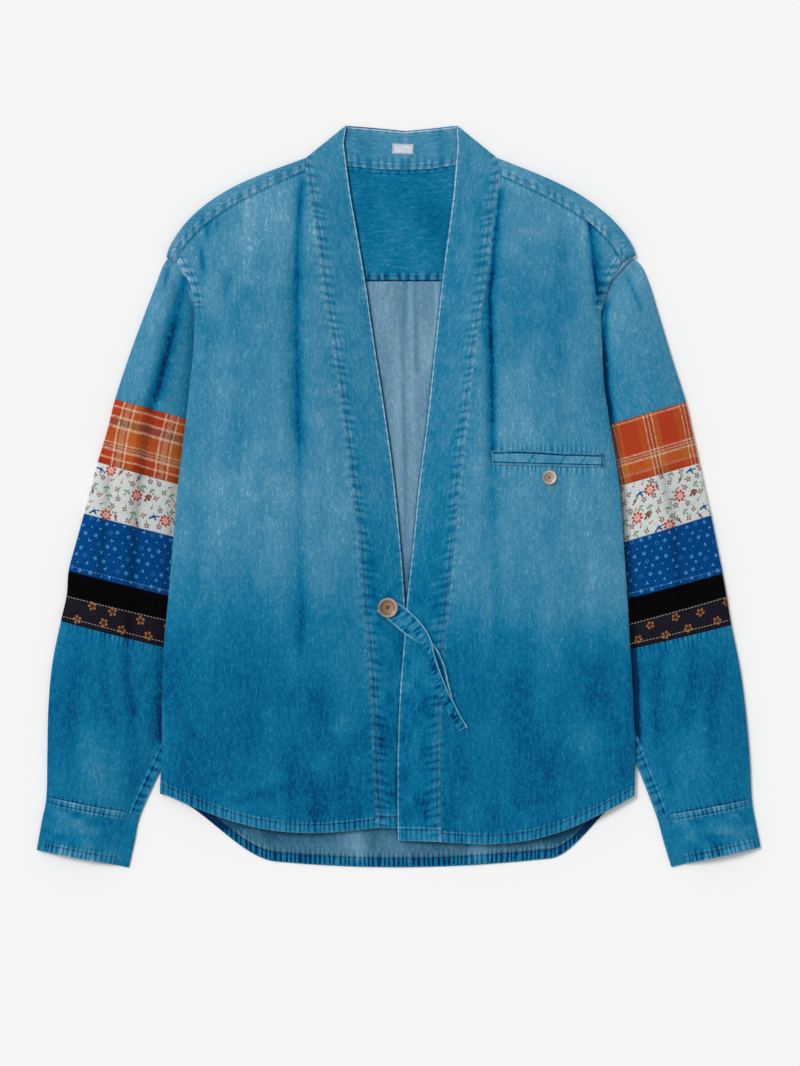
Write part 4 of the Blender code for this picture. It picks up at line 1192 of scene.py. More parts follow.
# The checks, one for each sleeve: for both thread directions the length of a repeat, how far
# it is shifted, and where in it each stripe starts, with its colour.
Stripes = namedtuple("Stripes", "repeat shift starts")
RED_THREAD, DEEP_RED, OCHRE, ORANGE, MAROON = "ac3c22", "992f1a", "b8642c", "b25626", "702c1e"
CREAM, SAND, BRICK, UMBER = "dfbc9a", "bb876a", "9a452c", "6c4c44"
CHECKS = {
    "right": (
        Stripes(46, 8, [(0.0, OCHRE), (0.20, CREAM), (0.245, BRICK), (0.29, SAND), (0.42, BRICK),
                        (0.47, CREAM), (0.515, RED_THREAD), (0.72, DEEP_RED), (0.78, RED_THREAD)]),
        Stripes(75, 0, [(0.0, RED_THREAD), (0.085, CREAM), (0.11, RED_THREAD), (0.22, CREAM),
                        (0.25, UMBER), (0.35, CREAM), (0.385, ORANGE), (0.52, OCHRE), (0.58, CREAM),
                        (0.60, MAROON), (0.615, SAND), (0.65, MAROON), (0.665, CREAM),
                        (0.70, RED_THREAD), (0.79, CREAM), (0.815, DEEP_RED)])),
    "left": (
        Stripes(40, 14, [(0.0, RED_THREAD), (0.30, OCHRE), (0.44, CREAM), (0.47, BRICK),
                         (0.54, CREAM), (0.57, BRICK), (0.64, CREAM), (0.67, ORANGE),
                         (0.86, RED_THREAD)]),
        Stripes(75, 0, [(0.0, RED_THREAD), (0.035, CREAM), (0.05, RED_THREAD), (0.50, CREAM),
                        (0.52, BRICK), (0.545, CREAM), (0.56, MAROON), (0.58, CREAM),
                        (0.61, OCHRE), (0.74, SAND), (0.77, RED_THREAD)])),
}

# Cloths of one colour: darker and paler threads, roughness and sheen.
PLAIN_CLOTHS = {
    "floral": ("b8c1c1", "dfe3df", 0.9, 0.0),
    "blue_print": ("00376c", "054e94", 0.9, 0.0),
    "velvet": ("010102", "050507", 0.95, 0.03),
    "dark_print": ("0f0e16", "24212b", 0.9, 0.0),
    "label_cloth": ("b9c6d6", "e4ecf6", 0.8, 0.0),
}
THREAD_COLOURS = {"tan": "777879", "cream": "d8cdb8", "pale": "8fc0e4"}

# Colour from the middle of a button to its rim.
HORN_STOPS = {
    "horn_dark": [(0.0, "4c2a10"), (0.20, "74491f"), (0.45, "9a7450"), (0.66, "8e6a48"),
                  (0.80, "6e5244"), (0.97, "a8958d")],
    "horn_pale": [(0.0, "6e5c4c"), (0.18, "a89684"), (0.34, "8a7866"), (0.50, "b4a494"),
                  (0.68, "867463"), (0.82, "b8aa9c"), (1.0, "c2b6aa")],
}


# ---------------- materials

class Nodes:
    """Adds nodes to one tree.  Inputs go by name or number, with a value or an output to read."""

    def __init__(self, tree):
        self.tree = tree

    def feed(self, node, inputs):
        """Set a node's inputs, or join them to the outputs that they read."""
        for key, value in inputs.items():
            if isinstance(value, bpy.types.NodeSocket):
                self.tree.links.new(value, node.inputs[key])
            else:
                node.inputs[key].default_value = value

    def add(self, kind, inputs=None, **settings):
        """A new node with these settings and inputs."""
        node = self.tree.nodes.new("ShaderNode" + kind)
        for name, value in settings.items():
            setattr(node, name, value)
        self.feed(node, inputs or {})
        return node

    def math(self, operation, *values):
        """The result of an operation on numbers and outputs."""
        return self.add("Math", dict(enumerate(values)), operation=operation).outputs[0]

    def total(self, *values):
        """The sum of numbers and outputs."""
        total = values[0]
        for value in values[1:]:
            total = self.math("ADD", total, value)
        return total

    def stored(self, name, output="Fac"):
        """What is stored under this name on the piece's points."""
        return self.add("Attribute", attribute_name=name).outputs[output]

    def cloth_place(self, scale=None):
        """The flat cloth coordinates, each times its scale."""
        place = self.add("UVMap", uv_map="cloth").outputs["UV"]
        if scale:
            place = self.add("Mapping", {"Vector": place, "Scale": scale}).outputs["Vector"]
        return place

    def noise(self, place, scale, detail=2.0, dimensions="3D"):
        """Soft noise around one half."""
        inputs = {"Vector": place, "Scale": scale, "Detail": detail}
        return self.add("TexNoise", inputs, noise_dimensions=dimensions).outputs["Fac"]

    def cloth_noise(self, scale, detail, spacing=1.0):
        """Noise that is stretched over the flat cloth."""
        return self.noise(self.cloth_place(scale), spacing, detail, "2D")

    def between(self, value, start, end, low, high, ease="LINEAR"):
        """Moves a value that runs from start to end so that it runs from low to high."""
        inputs = {"Value": value, "From Min": start, "From Max": end, "To Min": low, "To Max": high}
        return self.add("MapRange", inputs, interpolation_type=ease).outputs["Result"]

    def blend(self, share, one, other, kind="RGBA", how="MIX"):
        """One colour or number mixed with another by a share."""
        node = self.add("Mix", data_type=kind)
        if kind == "RGBA":
            node.blend_type = how
        self.feed(node, {"Factor": share, "A": one, "B": other})
        return node.outputs["Result"]

    def ramp(self, value, stops):
        """The colour at a value, between stops of a place, a colour code and a brightness."""
        node = self.add("ValToRGB", {"Fac": value})
        elements = node.color_ramp.elements
        while len(elements) > 1:
            elements.remove(elements[-1])
        for number, (place, code, *brightness) in enumerate(stops):
            element = elements.new(place) if number else elements[0]
            element.position = place
            element.color = (*srgb(code, *brightness), 1.0)
        return node.outputs["Color"]


def srgb(code, brightness=1.0):
    """Linear colour of a six-digit colour code."""
    parts = [int(code[i:i + 2], 16) / 255.0 for i in (0, 2, 4)]
    linear = [c / 12.92 if c <= 0.04045 else ((c + 0.055) / 1.055) ** 2.4 for c in parts]
    return tuple(c * brightness for c in linear)


def new_group(name, inputs, outputs):
    """A node group with its start and end; each input and output has a number or a colour."""
    group = bpy.data.node_groups.new(name, "ShaderNodeTree")
    kinds = {float: "NodeSocketFloat", tuple: "NodeSocketColor"}
    for way, sockets in (("INPUT", inputs), ("OUTPUT", outputs)):
        for label, value in sockets.items():
            kind = kinds[type(value)]
            socket = group.interface.new_socket(label, in_out=way, socket_type=kind)
            socket.default_value = value
    return group, Nodes(group), group.nodes.new("NodeGroupInput"), group.nodes.new("NodeGroupOutput")


def weave_group():
    """Threads of a woven cloth: a fine height and a speckle of lighter and darker threads."""
    group, nodes, start, end = new_group("Weave", {"Threads": THREADS_A_METRE, "Slub": 0.5},
                                         {"Height": 0.0, "Speckle": 0.0})
    warp = nodes.cloth_noise((1.0, 0.22, 1.0), 2.0, start.outputs["Threads"])
    weft = nodes.cloth_noise((0.3, 1.0, 1.0), 1.0, start.outputs["Threads"])
    height = nodes.blend(0.4, warp, weft, kind="FLOAT")
    speckle = nodes.math("MULTIPLY", nodes.math("SUBTRACT", height, 0.5), start.outputs["Slub"])
    nodes.feed(end, {"Height": height, "Speckle": speckle})
    return group


def gathers_group():
    """Fine creases that stitches draw in the cloth: dark sharp lines of painted shade, and swells
    between them with painted light.

    One set runs down the cloth and one across it, each as strong as the cloth's own
    gathers_down or gathers_across value.
    """
    group, nodes, _, end = new_group("Gathers", {}, {"Crease": 0.0})
    sets = []
    for name, across, scale in (("gathers_down", "X", (62.0, 9.0, 1.0)),
                                ("gathers_across", "Y", (9.0, 33.0, 1.0))):
        wave = nodes.add("TexWave", {"Vector": nodes.cloth_place(scale), "Scale": 1.0,
                                     "Distortion": 7.0, "Detail": 2.0, "Detail Scale": 1.3},
                         bands_direction=across)
        line = nodes.between(wave.outputs["Fac"], 0.05, 0.75, -1.0, 0.5, "SMOOTHSTEP")
        sets.append(nodes.math("MULTIPLY", line, nodes.stored(name)))
    nodes.feed(end, {"Crease": nodes.total(*sets)})
    return group


def dye_group(weave, gathers):
    """Washed indigo: the cloth's fade, its wear with the painted fold shade, and its gathers with
    the painted shade and light of their creases, broken up by streaks and slubs.

    The texture is streaks, mottling and thread speckle, cut off at its darkest, and pale
    veins where a coarser noise passes through its middle.
    """
    group, nodes, start, end = new_group(
        "Washed dye and shade", {"Streaks": 0.30, "Mottling": 0.22, "Speckle": 0.80},
        {"Fade": 0.0, "Height": 0.0})

    def scaled(value, strength):
        return nodes.math("MULTIPLY", value, strength)

    def ruffle(scale, detail):
        return nodes.math("SUBTRACT", nodes.cloth_noise(scale, detail), 0.5)

    threads = nodes.add("Group", node_tree=weave)
    nodes.feed(threads, {"Threads": THREADS_A_METRE, "Slub": 0.85})
    drawn = nodes.add("Group", node_tree=gathers).outputs["Crease"]
    streaks = scaled(ruffle((400.0, 60.0, 1.0), 2.0), start.outputs["Streaks"])
    mottling = scaled(ruffle((210.0, 120.0, 1.0), 3.0), start.outputs["Mottling"])
    speckle = scaled(threads.outputs["Speckle"], start.outputs["Speckle"])
    texture = nodes.math("MAXIMUM", nodes.total(streaks, mottling, speckle), -0.055)
    winding = nodes.math("ABSOLUTE", ruffle((95.0, 75.0, 1.0), 3.0))
    veins = nodes.math("MAXIMUM", nodes.math("SUBTRACT", 1.0, scaled(winding, 28.0)), 0.0)
    texture = nodes.total(texture, scaled(veins, 0.055))
    # The stored wear brings in the painted fold shade, and the gathers the painted shade and light of
    # their creases.
    worn = scaled(nodes.stored("wear"), 0.42)
    fade = nodes.total(nodes.math("ADD", nodes.stored("fade"), texture), worn, scaled(drawn, 0.25))
    height = nodes.total(threads.outputs["Height"], scaled(drawn, 0.9))
    nodes.feed(end, {"Fade": fade, "Height": height})
    return group


def shade_group():
    """A colour scaled by the stored wear: darker in the painted shade of the folds, a little paler
    where worn.
    """
    grey = (0.5, 0.5, 0.5, 1.0)
    group, nodes, start, end = new_group("Fold shade", {"Color": grey}, {"Color": grey})
    factor = nodes.between(nodes.stored("wear"), -0.9, 0.3, 0.4, 1.12)
    scaled = nodes.add("VectorMath", {0: start.outputs["Color"], "Scale": factor}, operation="SCALE")
    nodes.feed(end, {"Color": scaled.outputs["Vector"]})
    return group


def woven(nodes, weave, slub):
    """The height of a woven cloth's threads, and their speckle moved to between 0 and 1."""
    threads = nodes.add("Group", node_tree=weave)
    nodes.feed(threads, {"Threads": THREADS_A_METRE, "Slub": slub})
    return threads.outputs["Height"], nodes.total(threads.outputs["Speckle"], 0.5)


def new_material(name, roughness, sheen=0.0, gloss=0.04):
    """A material, what adds nodes to it, and its shader."""
    material = bpy.data.materials.new(name)
    material.use_nodes = True
    nodes = Nodes(material.node_tree)
    shader = material.node_tree.nodes["Principled BSDF"]
    nodes.feed(shader, {"Roughness": roughness, "Specular IOR Level": gloss,
                        "Sheen Weight": sheen, "Sheen Roughness": 0.5})
    return material, nodes, shader


def colour_and_ruffle(nodes, shader, colour, height, strength, distance):
    """Colour a surface and let a height ruffle it: distance in millimetres."""
    bump = nodes.add("Bump", {"Strength": strength, "Distance": distance * MM, "Height": height})
    nodes.feed(shader, {"Base Color": colour, "Normal": bump.outputs["Normal"]})


def denim_material(dye):
    """Washed denim, coloured by how far its dye has faded."""
    material, nodes, shader = new_material("denim", 0.92, sheen=0.02)
    washed_and_shaded = nodes.add("Group", node_tree=dye)
    colour = nodes.ramp(washed_and_shaded.outputs["Fade"], DENIM_STOPS)
    colour_and_ruffle(nodes, shader, colour, washed_and_shaded.outputs["Height"], 0.35, 0.35)
    return material


def inside_material(dye):
    """The pale wrong side of the denim; its turned-up hem shows the blue right side."""
    material, nodes, shader = new_material("denim_inside", 0.95, sheen=0.08)
    washed_and_shaded = nodes.add("Group", node_tree=dye)
    nodes.feed(washed_and_shaded, {"Streaks": 0.25})
    pale = nodes.ramp(washed_and_shaded.outputs["Fade"], INSIDE_STOPS)
    blue = nodes.ramp(nodes.math("SUBTRACT", washed_and_shaded.outputs["Fade"], 0.12), DENIM_STOPS)
    on_hem = nodes.between(nodes.stored("hem"), BACK_HEM - 0.4, BACK_HEM + 0.4, 1.0, 0.0)
    colour = nodes.blend(on_hem, pale, blue)
    colour_and_ruffle(nodes, shader, colour, washed_and_shaded.outputs["Height"], 0.35, 0.35)
    return material


def shaded(nodes, shade, colour):
    """The colour with the painted shade of the cloth's folds."""
    group = nodes.add("Group", node_tree=shade)
    nodes.feed(group, {"Color": colour})
    return group.outputs["Color"]


def stripes(nodes, place, direction, kind):
    """The colour of the threads that run one way, by their place along the other way."""
    share = nodes.math("MULTIPLY_ADD", place, direction / (kind.repeat * MM),
                       kind.shift / kind.repeat)
    stops = []
    for (start, code), (after, _) in zip(kind.starts, [*kind.starts[1:], (1.0, None)]):
        stops += [(start, code), (max(start, after - STRIPE_BLUR), code)]
    return nodes.ramp(nodes.math("FRACT", share), stops)


def check_material(weave, shade, side):
    """A brushed check: the stripes of both thread directions, half of each."""
    material, nodes, shader = new_material("plaid_" + side, 0.95, sheen=0.03)
    place = nodes.add("SeparateXYZ", {"Vector": nodes.cloth_place()})
    lengthwise = stripes(nodes, place.outputs["X"], 1.0, CHECKS[side][0])
    crosswise = stripes(nodes, place.outputs["Y"], -1.0, CHECKS[side][1])
    height, share = woven(nodes, weave, 2.4)
    colour = shaded(nodes, shade, nodes.blend(share, lengthwise, crosswise))
    colour_and_ruffle(nodes, shader, colour, height, 0.4, 0.4)
    return material


def plain_cloth(name, weave, shade, dark, pale, roughness, sheen):
    """A cloth of one colour whose threads vary a little between a darker and a paler one."""
    material, nodes, shader = new_material(name, roughness, sheen)
    height, share = woven(nodes, weave, 1.0)
    colour = shaded(nodes, shade, nodes.ramp(share, [(0.25, dark), (0.75, pale)]))
    colour_and_ruffle(nodes, shader, colour, height, 0.3, 0.3)
    return material


def ink_material(shade):
    """Printed colour, as stored on each motif."""
    material, nodes, shader = new_material("printed_motif", 0.9)
    colour = shaded(nodes, shade, nodes.stored("ink", "Color"))
    grain = nodes.add("TexNoise", {"Scale": 1500.0}).outputs["Fac"]
    colour_and_ruffle(nodes, shader, colour, grain, 0.3, 0.2)
    return material


def thread_material(name, code):
    """Twisted sewing thread, with painted shade a quarter darker between its turns."""
    material, nodes, shader = new_material(name, 0.8, sheen=0.03)
    twist = nodes.noise(nodes.add("TexCoord").outputs["Object"], 900.0)
    nodes.feed(shader, {"Base Color": nodes.ramp(twist, [(0.3, code, 0.75), (0.7, code)])})
    return material


def horn_material(kind):
    """Polished horn: grown rings, paler at the rim, and painted side light that darkens one side."""
    material, nodes, shader = new_material(kind.slot, 0.35, gloss=0.5)
    nodes.feed(shader, {"Coat Weight": 0.25})
    size = 1.0 / (kind.radius * MM)
    middle = (-kind.x / kind.radius, -kind.y / kind.radius, 0.0)
    mapping = {"Vector": nodes.add("TexCoord").outputs["Object"], "Scale": (size, size, size),
               "Location": middle}
    place = nodes.add("Mapping", mapping).outputs["Vector"]
    flat = nodes.add("VectorMath", {0: place, 1: (1.0, 1.0, 0.0)}, operation="MULTIPLY")
    reach = nodes.add("VectorMath", {0: flat.outputs["Vector"]}, operation="LENGTH")
    swirl = nodes.noise(place, 1.6, 3.0)
    uneven = nodes.math("MULTIPLY_ADD", swirl, 0.25, reach.outputs["Value"])
    rings = nodes.ramp(uneven, HORN_STOPS[kind.slot])
    apart = nodes.add("SeparateXYZ", {"Vector": place})
    side_light = nodes.between(apart.outputs["X"], -0.8, 0.5, 0.55, 1.1)
    nodes.feed(shader, {"Base Color": nodes.blend(1.0, rings, side_light, how="MULTIPLY")})
    return material


# ---------------- pieces laid on the cloth

def cloth_tree(names):
    """Search trees over the finished walls of the named pieces."""
    depsgraph = bpy.context.evaluated_depsgraph_get()
    return [BVHTree.FromObject(CLOTHS[name].piece, depsgraph) for name in names]


def top_of(trees, x, y):
    """Height in millimetres of the highest cloth at this place."""
    heights = [0.0]
    for tree in trees:
        hit = tree.ray_cast(Vector((x * MM, y * MM, 0.1)), Vector((0.0, 0.0, -1.0)))
        if hit[0] is not None:
            heights.append(hit[0].z / MM)
    return max(heights)


def heights_at(trees, plan):
    """Height of the highest cloth at each of an array of places."""
    flat = plan.reshape(-1, 2)
    return np.array([top_of(trees, x, y) for x, y in flat]).reshape(plan.shape[:-1])


POCKET_LEFT = (96.0, 39.5)      # middle of the pocket's left end
POCKET_RIGHT = (212.0, 36.5)    # and of its right end
POCKET_HEIGHT = 15.0


def pocket_gathers(x, y):
    """How far the pocket's stitches draw the front in above and below it, from 0 to 1."""
    share = np.clip((x - POCKET_LEFT[0]) / (POCKET_RIGHT[0] - POCKET_LEFT[0]), 0.0, 1.0)
    middle = mix(POCKET_LEFT[1], POCKET_RIGHT[1], share)
    away = np.maximum(np.abs(y - middle) - POCKET_HEIGHT / 2.0, 0.0)
    beside = np.maximum(POCKET_LEFT[0] - x, x - POCKET_RIGHT[0])
    return bell(away, 7.0) * smooth(1.0 - beside / 5.0) * np.sin(math.pi * share) ** 0.3


def laid_on(trees, x, y, every):
    """Height of the cloth below a grid of places, measured at every few rows and columns."""
    rows, columns = x.shape
    coarse = np.stack([x[::every[0], ::every[1]], y[::every[0], ::every[1]]], axis=-1)
    below = heights_at(trees, coarse)[..., None]
    return read_grid(below, *np.meshgrid(np.arange(rows) / every[0], np.arange(columns) / every[1],
                                         indexing="ij"))[..., 0]


# Slanted creases across the welt: how far along each lies, and how deep.
WELT_CREASES = [(47.0, 1.0), (52.0, 0.4), (79.0, 0.9), (100.0, 0.8), (22.0, 0.4)]


def build_pocket_welt(finish):
    """The chest pocket: a narrow welt in a stitched frame, its mouth along the upper edge."""
    share, rise = np.meshgrid(np.linspace(0.0, 1.0, 92), np.linspace(0.5, -0.5, 26))
    x = mix(POCKET_LEFT[0], POCKET_RIGHT[0], share)
    bow = 1.2 * np.sin(math.pi * np.minimum(share / 0.6, 1.0)) * (0.5 + rise)
    y = mix(POCKET_LEFT[1], POCKET_RIGHT[1], share) + rise * POCKET_HEIGHT + bow
    z = laid_on(cloth_tree(["shown_front_left"]), x, y, (5, 7)) + 0.45
    grid = np.stack([x, y, z], axis=-1)
    edges = Edges(grid)
    mouth = bell(edges.top - 3.1, 0.75) * smooth((edges.left - 1.0) / 1.5)
    foot = bell(edges.bottom - 2.9, 0.55)
    ends = bell(edges.right - 2.6, 0.5) + 0.5 * bell(edges.left - 2.6, 0.5)
    inside = smooth((edges.top - 2.9) / 0.6) * smooth((edges.bottom - 2.9) / 0.8)
    slanted = edges.left + 0.7 * edges.top
    creases = sum(depth * bell(slanted - place, 0.9) for place, depth in WELT_CREASES)
    creases = creases * inside * smooth((edges.top - 3.6) / 1.5)
    drawn = soft_noise(edges.left, edges.top, 2.6, 40.0, 63) * (1.0 - inside)
    grid[..., 2] += 0.5 * inside - 0.9 * mouth - 0.5 * foot - 0.4 * ends - 0.3 * creases + 0.15 * drawn
    wear = 0.35 * bell(edges.top - 4.2, 0.8) + 0.175 * bell(edges.bottom - 4.0, 0.7)
    # Painted light where the drawn cloth rises, painted shade in the pocket's mouth and creases, and
    # darker grooves at its foot and ends.
    wear += 0.3 * drawn - 3.0 * mouth - 1.9 * foot - 1.5 * ends - 1.0 * creases
    fade = body_fade(x, y) - 0.10
    welt = add_cloth("shown_pocket_welt", grid, wear, fade, [finish], thickness=0.7, grain=0)
    dress(welt, "denim", "pocket_welt")
    declare_cloth(welt, [grid])


LABEL_CENTRE = (4.5, 358.5)
LABEL_SIZE = (22.0, 10.5)
LABEL_TILT = math.radians(2.0)


def build_label(finish):
    """The small bare woven label at the middle of the collar, tacked down at its ends."""
    across, up = np.meshgrid(np.linspace(-0.5, 0.5, 34), np.linspace(0.5, -0.5, 18))
    run, rise = LABEL_SIZE[0] * across, LABEL_SIZE[1] * up
    x = LABEL_CENTRE[0] + run * math.cos(LABEL_TILT) + rise * math.sin(LABEL_TILT)
    y = LABEL_CENTRE[1] - run * math.sin(LABEL_TILT) + rise * math.cos(LABEL_TILT)
    under = ["shown_collar_right", "shown_collar_left"]
    probes = [(0, 0), (0, -1), (-1, 0), (-1, -1), (8, 16)]
    corners = np.array([[x[probe], y[probe]] for probe in probes])
    level = float(heights_at(cloth_tree(under), corners).max()) + 0.35
    bulge = 0.35 * (1.0 - (2.0 * across) ** 4) * (1.0 - (2.0 * up) ** 4)
    grid = np.stack([x, y, level + bulge], axis=-1)
    edges = Edges(grid)
    border = np.minimum(np.minimum(edges.left, edges.right), np.minimum(edges.top, edges.bottom))
    wear = -bell(border - 0.9, 0.35)
    label = add_cloth("shown_label", grid, wear, np.ones_like(wear), [finish], thickness=0.4, grain=0)
    dress(label, "label_cloth", "label")
    declare_cloth(label, [grid])


# The tab that buttons the jacket, from under the button to its free end: its upper and
# lower edge, and how far each edge stands off the cloth.  It rolls on its side half-way.
TabRow = namedtuple("TabRow", "upper_x upper_y upper_lift lower_x lower_y lower_lift")
TAB = [TabRow(*row) for row in (
    (-12.4, -104.2, 0.2, -22.7, -118.1, 0.2),
    (-1.5, -109.4, 0.2, -14.4, -124.3, 0.2),
    (10.8, -118.1, 0.5, -2.6, -134.6, 0.5),
    (21.6, -128.4, 1.2, 9.3, -143.9, 0.9),
    (29.4, -139.3, 2.6, 19.6, -151.1, 0.9),
    (34.0, -149.0, 3.8, 26.8, -156.3, 0.7),
    (37.1, -162.4, 4.4, 30.4, -165.5, 0.6),
    (41.7, -176.9, 4.3, 33.0, -178.9, 0.5),
    (46.4, -189.2, 4.0, 36.1, -191.3, 0.4),
    (51.5, -201.6, 3.2, 40.2, -204.7, 0.3),
    (56.1, -209.8, 2.4, 44.8, -213.9, 0.2),
    (63.3, -224.2, 1.4, 53.0, -227.8, 0.2),
    (71.1, -237.6, 0.6, 61.8, -242.3, 0.2),
)]
# The sliver of the tab that is rolled under and shows beside it: the tab's edge above it,
# and its own outer edge, with their heights above the cloth.
TAB_ROLL = [TabRow(*row) for row in (
    (33.5, -148.0, 3.4, 31.0, -149.5, 2.0),
    (38.2, -155.2, 2.6, 32.0, -156.6, 1.8),
    (42.0, -160.9, 2.2, 33.8, -163.4, 1.8),
    (45.3, -168.6, 2.0, 35.8, -170.4, 1.8),
    (48.4, -176.9, 2.0, 38.1, -178.0, 1.8),
    (51.0, -189.2, 1.9, 42.8, -190.2, 1.7),
    (53.2, -198.5, 1.7, 46.8, -199.5, 1.5),
    (55.6, -207.7, 1.5, 52.2, -208.6, 1.2),
)]


def ribbon_grid(table, rows, columns, clearance):
    """A narrow strip between two edges, lying on the jacket: rows along it, columns across.

    Its height clears all cloth within 5 mm, so that it doesn't follow each small step.
    """
    edges = np.array(table, float)
    upper, lower = edges[:, 0:2], edges[:, 3:5]
    share = np.linspace(0.0, 1.0, 5)
    plan = mix(upper[:, None], lower[:, None], share[:, None])
    trees = cloth_tree(["shown_collar_right", "shown_collar_left", "shown_front_left"])
    around = [heights_at(trees, plan + np.array([dx, dy]))
              for dx in (-5.0, 0.0, 5.0) for dy in (-5.0, 0.0, 5.0)]
    height = np.max(around, axis=0) + clearance + mix(edges[:, 2:3], edges[:, 5:6], share)
    coarse = np.concatenate([plan, height[..., None]], axis=-1)
    fine = through_rows(coarse, row_places(mix(upper, lower, 0.5), np.linspace(0.0, 1.0, rows)))
    return read_grid(fine, *np.meshgrid(np.arange(rows), np.linspace(0.0, 4.0, columns),
                                        indexing="ij"))


def build_tab_sheet(finish):
    """The tab's face: worn edges rolled over, and the face gathered between them."""
    grid = ribbon_grid(TAB, 190, 26, 0.55)
    edges = Edges(grid)
    along, across = edges.top, edges.left
    ripple = soft_noise(along + 0.35 * across, across, 2.0, 9.0, 71)
    body = smooth((across - 1.6) / 1.5) * smooth((edges.right - 0.8) / 1.2)
    crease = smooth((0.1 - ripple) / 0.8) * body
    swell = np.abs(ripple) * body
    upper_edge = bell(across - 0.5, 0.9)
    lower_edge = bell(edges.right - 0.5, 0.8) * (1.0 - smooth((along - 44.0) / 10.0))
    groove = bell(across - 2.2, 0.5)
    grid[..., 2] += 0.5 * (upper_edge + lower_edge + swell) - 0.6 * crease - 0.35 * groove
    wear = 1.1 * upper_edge + 1.2 * lower_edge + 0.6 * bell(edges.bottom, 1.5) - 0.15
    # Painted light on the swells and painted shade in the creases and the groove.
    wear += 0.4 * swell - 1.05 * crease - 0.3 * groove
    fade = 0.42 - 0.10 * smooth((along - 50.0) / 40.0)
    return add_cloth("shown_tab", grid, wear, fade, [finish], thickness=0.9, grain=0), grid


def build_tab_roll(finish):
    """The sliver of the tab that is rolled under, pale along its edge."""
    grid = ribbon_grid(TAB_ROLL, 90, 12, 0.3)
    edges = Edges(grid)
    bright = bell(edges.left - 0.6, 0.9)
    shade = smooth((edges.left - 1.8) / 1.2)
    grid[..., 2] += 0.5 * bright - 0.4 * shade
    wear = 1.3 * bright - 0.55 * shade
    fade = np.full_like(wear, 0.30)
    return add_cloth("tab_roll", grid, wear, fade, [finish], thickness=0.8, grain=0), grid


def build_tab(finish):
    """The cloth tab with its free end, and the rolled sliver that belongs to it."""
    tab, grid = build_tab_sheet(finish)
    dress(tab, "denim", "tab")
    roll, roll_grid = build_tab_roll(finish)
    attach(roll, "root")
    declare_cloth(tab, [grid, roll_grid])
    declare_cloth(roll, [roll_grid])


# ---------------- buttons

# A button: its place, radius and thickness, and the pieces that it lies on.
Button = namedtuple("Button", "node slot x y radius thickness under")
BUTTONS = [
    Button("button_front", "horn_dark", -11.0, -115.0, 10.3, 3.4,
           ("shown_collar_right", "shown_tab")),
    Button("button_pocket", "horn_pale", 155.0, 19.0, 7.4, 2.8, ("shown_front_left",)),
]
# Its profile from the underside to the middle of the dish: shares of radius and thickness.
BUTTON_PROFILE = [
    (0.0, 0.0), (0.45, 0.0), (0.78, 0.10), (0.93, 0.30), (0.99, 0.52), (1.0, 0.66),
    (0.985, 0.82), (0.95, 0.94), (0.90, 1.0), (0.84, 0.99), (0.79, 0.92), (0.74, 0.80),
    (0.66, 0.70), (0.55, 0.63), (0.42, 0.58), (0.30, 0.56), (0.25, 0.53), (0.22, 0.49),
    (0.0, 0.48),
]
BUTTON_STEPS = 72           # points round it
HOLE_RING = 0.125           # where the four holes lie, as a share of the radius
HOLE_SIZE = 0.062           # radius of a hole


def turned_button(kind, base, horn):
    """A button turned from its profile, standing on the height base."""
    profile = np.array(BUTTON_PROFILE) * np.array([kind.radius, kind.thickness])
    turn = np.linspace(0.0, 2.0 * math.pi, BUTTON_STEPS, endpoint=False)
    reach, height = profile[:, 0:1], profile[:, 1:2]
    points = np.stack([kind.x + reach * np.cos(turn), kind.y + reach * np.sin(turn),
                       base + height + 0.0 * turn], axis=-1)
    faces = grid_faces(len(profile), BUTTON_STEPS, closed=True)[:, ::-1]
    button = add_mesh("shown_" + kind.node, points.reshape(-1, 3), faces, [horn])
    weld_and_turn_out(button)
    return button


def drill_holes(button, kind, height):
    """Cut the four thread holes right through a button; height is its middle."""
    reach = HOLE_RING * kind.radius
    for angle in np.radians([45.0, 135.0, 225.0, 315.0]):
        bpy.ops.mesh.primitive_cylinder_add(
            vertices=20, radius=HOLE_SIZE * kind.radius * MM, depth=3.0 * kind.thickness * MM,
            location=((kind.x + reach * math.cos(angle)) * MM,
                      (kind.y + reach * math.sin(angle)) * MM, height * MM))
        cut = button.modifiers.new("Hole", "BOOLEAN")
        cut.operation, cut.solver, cut.object = "DIFFERENCE", "EXACT", bpy.context.object
    holed = button.evaluated_get(bpy.context.evaluated_depsgraph_get())
    button.data = bpy.data.meshes.new_from_object(holed)
    for cut in list(button.modifiers):
        bpy.data.objects.remove(cut.object, do_unlink=True)
        button.modifiers.remove(cut)


def build_button(kind, horn, thread):
    """A dished horn button with four holes, sewn on with two crossed threads."""
    turn = np.linspace(0.0, 2.0 * math.pi, BUTTON_STEPS, endpoint=False)
    rim = np.stack([kind.x + kind.radius * np.cos(turn), kind.y + kind.radius * np.sin(turn)], axis=1)
    base = float(np.percentile(heights_at(cloth_tree(kind.under), rim), 80)) + 0.2
    middle = base + 0.5 * kind.thickness
    button = turned_button(kind, base, horn)
    drill_holes(button, kind, middle)
    dress(button, kind.slot, kind.node)

    reach = HOLE_RING * kind.radius * 0.72
    centre = np.array([kind.x, kind.y, middle])
    starts = centre + np.array([[-reach, -reach, 0.0], [-reach, reach, 0.15]])
    ends = centre + np.array([[reach, reach, 0.1], [reach, -reach, 0.25]])
    sewn = add_mesh("thread_" + kind.node, *stitch_bars(starts, ends, 0.5), [thread])
    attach(sewn, "root")


# ---------------- stitches

